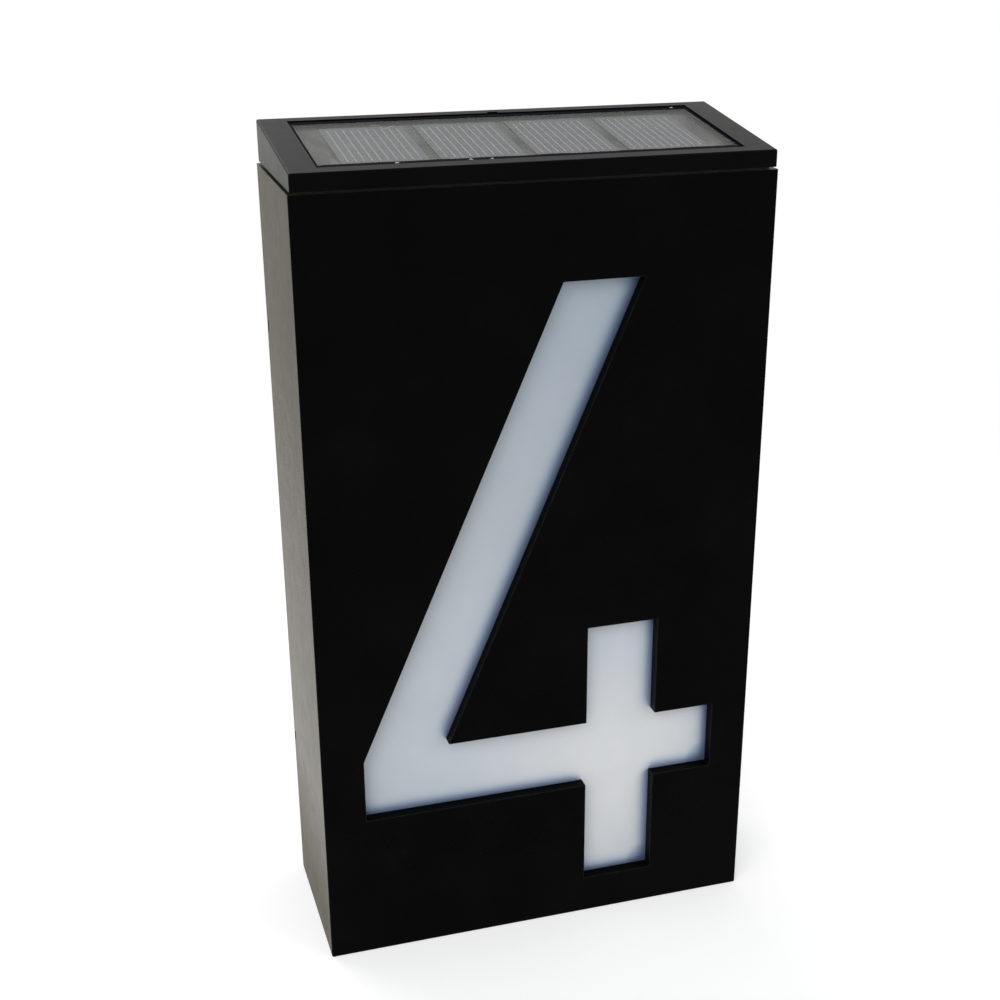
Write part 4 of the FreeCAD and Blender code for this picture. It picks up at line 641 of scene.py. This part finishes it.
def cell_lines():
    """The printed lines of each cell where the CAD has them, but a little uneven in width."""
    low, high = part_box("solar_cells")
    width = (high[0] - low[0] - (CELL_COUNT - 1) * CELL_SPACE) / CELL_COUNT
    pitch = (width - 2 * LINE_INSET) / (LINES_PER_CELL - 1)
    start, end = ((corner - panel.front).dot(panel.up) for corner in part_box("cell_fingers"))
    lines = []
    for cell in range(CELL_COUNT):
        first = low[0] + cell * (width + CELL_SPACE) + LINE_INSET
        for line in range(LINES_PER_CELL):
            u = first + line * pitch
            rings = []
            for k in range(LINE_STEPS + 1):
                v = start + (end - start) * k / LINE_STEPS
                half = LINE_WIDTH / 2 * uneven(Vector((u, v, 0.0)), 1.7 * MM, 0.35)
                rings.append(
                    [
                        panel.at(u + x, v, w)
                        for x, w in (
                            (-half, LINE_TOP),
                            (half, LINE_TOP),
                            (half, LINE_FOOT),
                            (-half, LINE_FOOT),
                        )
                    ]
                )
            lines.append(sweep(f"cell_line_{cell}_{line}", rings, smooth=False))
    with bpy.context.temp_override(active_object=lines[0], selected_editable_objects=lines):
        bpy.ops.object.join()
    lines[0].name = "cell_lines"
    finished(lines[0], MATERIALS["silver_ink"])
    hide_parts("cell_fingers")


WIRE_RADIUS = 0.05 * MM
WIRE_DEPTH = 0.12 * MM           # below the resin's face
# Places across and up the panel, in millimetres.
WIRE_POINTS = [
    (-27.9, 28.5), (-26.6, 28.9), (-25.7, 27.8), (-25.8, 25.2), (-24.2, 27.0), (-22.7, 27.9),
]


def solder_tail():
    """A loose end of fine solder wire caught in the resin over the first cell."""
    curve = bpy.data.curves.new("solder_tail", "CURVE")
    curve.dimensions = "3D"
    curve.bevel_depth = WIRE_RADIUS
    curve.bevel_resolution = 2
    curve.use_fill_caps = True
    spline = curve.splines.new("NURBS")
    spline.points.add(len(WIRE_POINTS) - 1)
    for point, (u, v) in zip(spline.points, WIRE_POINTS):
        point.co = (*panel.at(u * MM, v * MM, -WIRE_DEPTH), 1.0)
    spline.order_u = 3
    spline.use_endpoint_u = True
    obj = bpy.data.objects.new("solder_tail", curve)
    bpy.context.collection.objects.link(obj)
    finished(obj, MATERIALS["silver_ink"])


NOTCH_LEVELS = (38.8 * MM, 140.7 * MM)     # heights of the notches' middles
EAR_HEIGHT = 2.2 * MM
EAR_DEPTH = 2.0 * MM
EAR_SUNK = 0.03 * MM             # below the housing's side
EAR_CHAMFER = 0.06 * MM


def cover_ears():
    """The rear cover's four small ears, which fill the notches in the housing's sides."""
    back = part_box("rear_cover")[1][1]
    cover_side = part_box("rear_cover")[1][0]
    shell_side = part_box("housing")[1][0] - EAR_SUNK
    black = dull_black("ear_black", (0.006, 0.006, 0.006))
    for side, side_name in ((-1, "left"), (1, "right")):
        for z, level_name in zip(NOTCH_LEVELS, ("low", "high")):
            rings = []
            for x, inset in (
                (cover_side, 0.0),
                (shell_side - EAR_CHAMFER, 0.0),
                (shell_side, EAR_CHAMFER),
            ):
                y_front, y_back = back - EAR_DEPTH + inset, back - inset
                z_low, z_high = z - EAR_HEIGHT / 2 + inset, z + EAR_HEIGHT / 2 - inset
                rings.append(
                    [
                        Vector((side * x, y, height))
                        for y, height in (
                            (y_front, z_low), (y_back, z_low), (y_back, z_high), (y_front, z_high),
                        )
                    ]
                )
            ear = sweep(f"cover_ear_{side_name}_{level_name}", rings, smooth=False)
            finished(ear, black)


panel_bead()
glue_specks()
cell_lines()
solder_tail()
cover_ears()


# ---------------------------------------------------------------- floor, world, lamps, camera
def background_rays(nodes, links):
    """1 for the rays that look at the background: camera, mirror and see-through rays."""
    path = nodes.new("ShaderNodeLightPath")
    seen = path.outputs["Is Camera Ray"]
    for kind in ("Is Glossy Ray", "Is Transmission Ray"):
        node = nodes.new("ShaderNodeMath")
        node.operation = "MAXIMUM"
        links.new(seen, node.inputs[0])
        links.new(path.outputs[kind], node.inputs[1])
        seen = node.outputs["Value"]
    return seen


FLOOR_SIZE = 12.0
SHADED_FLOOR = (0.10, 0.42)      # radii between which the lit floor turns into plain white
FLOOR_GLOW = 0.42                # for background rays alone, so that the shadow stays pale


def floor():
    """A pale floor that keeps the sign's shadow and turns into the white background."""
    bpy.ops.mesh.primitive_plane_add(size=FLOOR_SIZE, location=(0.0, 0.0, cad_box[0][2]))
    plane = bpy.context.object
    plane.name = "studio_floor"
    s = Shader("studio_floor")
    length = s.nodes.new("ShaderNodeVectorMath")
    length.operation = "LENGTH"
    s.link(s.coords, length.inputs[0])
    far = s.span(length.outputs["Value"], 0.0, 1.0, *SHADED_FLOOR)
    s.colour(s.mix(s.span(s.noise(0.4), 0.0, 1.0), (0.86, 0.85, 0.83), (0.88, 0.87, 0.85)))
    s.value(Roughness=0.9, Specular_IOR_Level=0.1)
    s.bsdf.inputs["Emission Color"].default_value = (0.96, 0.98, 1.0, 1.0)
    seen = background_rays(s.nodes, s.links)
    s.link(s.math("MULTIPLY", seen, FLOOR_GLOW), s.bsdf.inputs["Emission Strength"])
    white = s.nodes.new("ShaderNodeEmission")
    choice = s.nodes.new("ShaderNodeMixShader")
    s.link(s.math("MULTIPLY", far, seen), choice.inputs["Fac"])
    s.link(s.bsdf.outputs["BSDF"], choice.inputs[1])
    s.link(white.outputs["Emission"], choice.inputs[2])
    s.link(choice.outputs["Shader"], s.nodes["Material Output"].inputs["Surface"])
    plane.data.materials.append(s.material)


def world():
    """A plain soft light that looks white where it is seen."""
    w = bpy.data.worlds.new("studio")
    bpy.context.scene.world = w
    w.use_nodes = True
    nodes = w.node_tree.nodes
    links = w.node_tree.links
    nodes.clear()
    glow = nodes.new("ShaderNodeBackground")
    glow.inputs["Color"].default_value = (0.98, 0.99, 1.0, 1.0)
    glow.inputs["Strength"].default_value = 0.5
    white = nodes.new("ShaderNodeBackground")
    white.inputs["Color"].default_value = (1.0, 1.0, 1.0, 1.0)
    choice = nodes.new("ShaderNodeMixShader")
    out = nodes.new("ShaderNodeOutputWorld")
    links.new(background_rays(nodes, links), choice.inputs["Fac"])
    links.new(glow.outputs["Background"], choice.inputs[1])
    links.new(white.outputs["Background"], choice.inputs[2])
    links.new(choice.outputs["Shader"], out.inputs["Surface"])


LAMP_TARGET = Vector((0.0, 0.0, 0.1))


def lamp(name, place, size, power):
    """A white area lamp of a size in metres and a power in watts, aimed at the sign."""
    data = bpy.data.lights.new(name, "AREA")
    data.shape = "RECTANGLE"
    data.size, data.size_y = size
    data.energy = power
    obj = bpy.data.objects.new(name, data)
    bpy.context.collection.objects.link(obj)
    obj.location = place
    obj.rotation_euler = (LAMP_TARGET - Vector(place)).to_track_quat("-Z", "Y").to_euler()


def camera():
    """The photograph's view, from a fit to the edges of the box."""
    data = bpy.data.cameras.new("photo_camera")
    obj = bpy.data.objects.new("photo_camera", data)
    bpy.context.collection.objects.link(obj)
    obj.location = (-0.09704, -0.32062, 0.23020)
    obj.rotation_euler = [math.radians(a) for a in (66.6613, -0.0951, -17.5047)]
    data.sensor_width = 36.0
    data.lens = 56.909
    data.shift_x = -0.0333
    data.shift_y = 0.060
    data.clip_start = 0.01
    bpy.context.scene.camera = obj


floor()
world()
lamp("key", (-0.9, -1.1, 1.3), (1.0, 1.0), 9.0)
lamp("fill", (1.2, -1.0, 0.9), (1.2, 1.2), 5.0)
lamp("back", (-0.5, 1.3, 1.2), (1.4, 0.8), 9.0)
camera()

bpy.context.scene.view_settings.view_transform = "Standard"
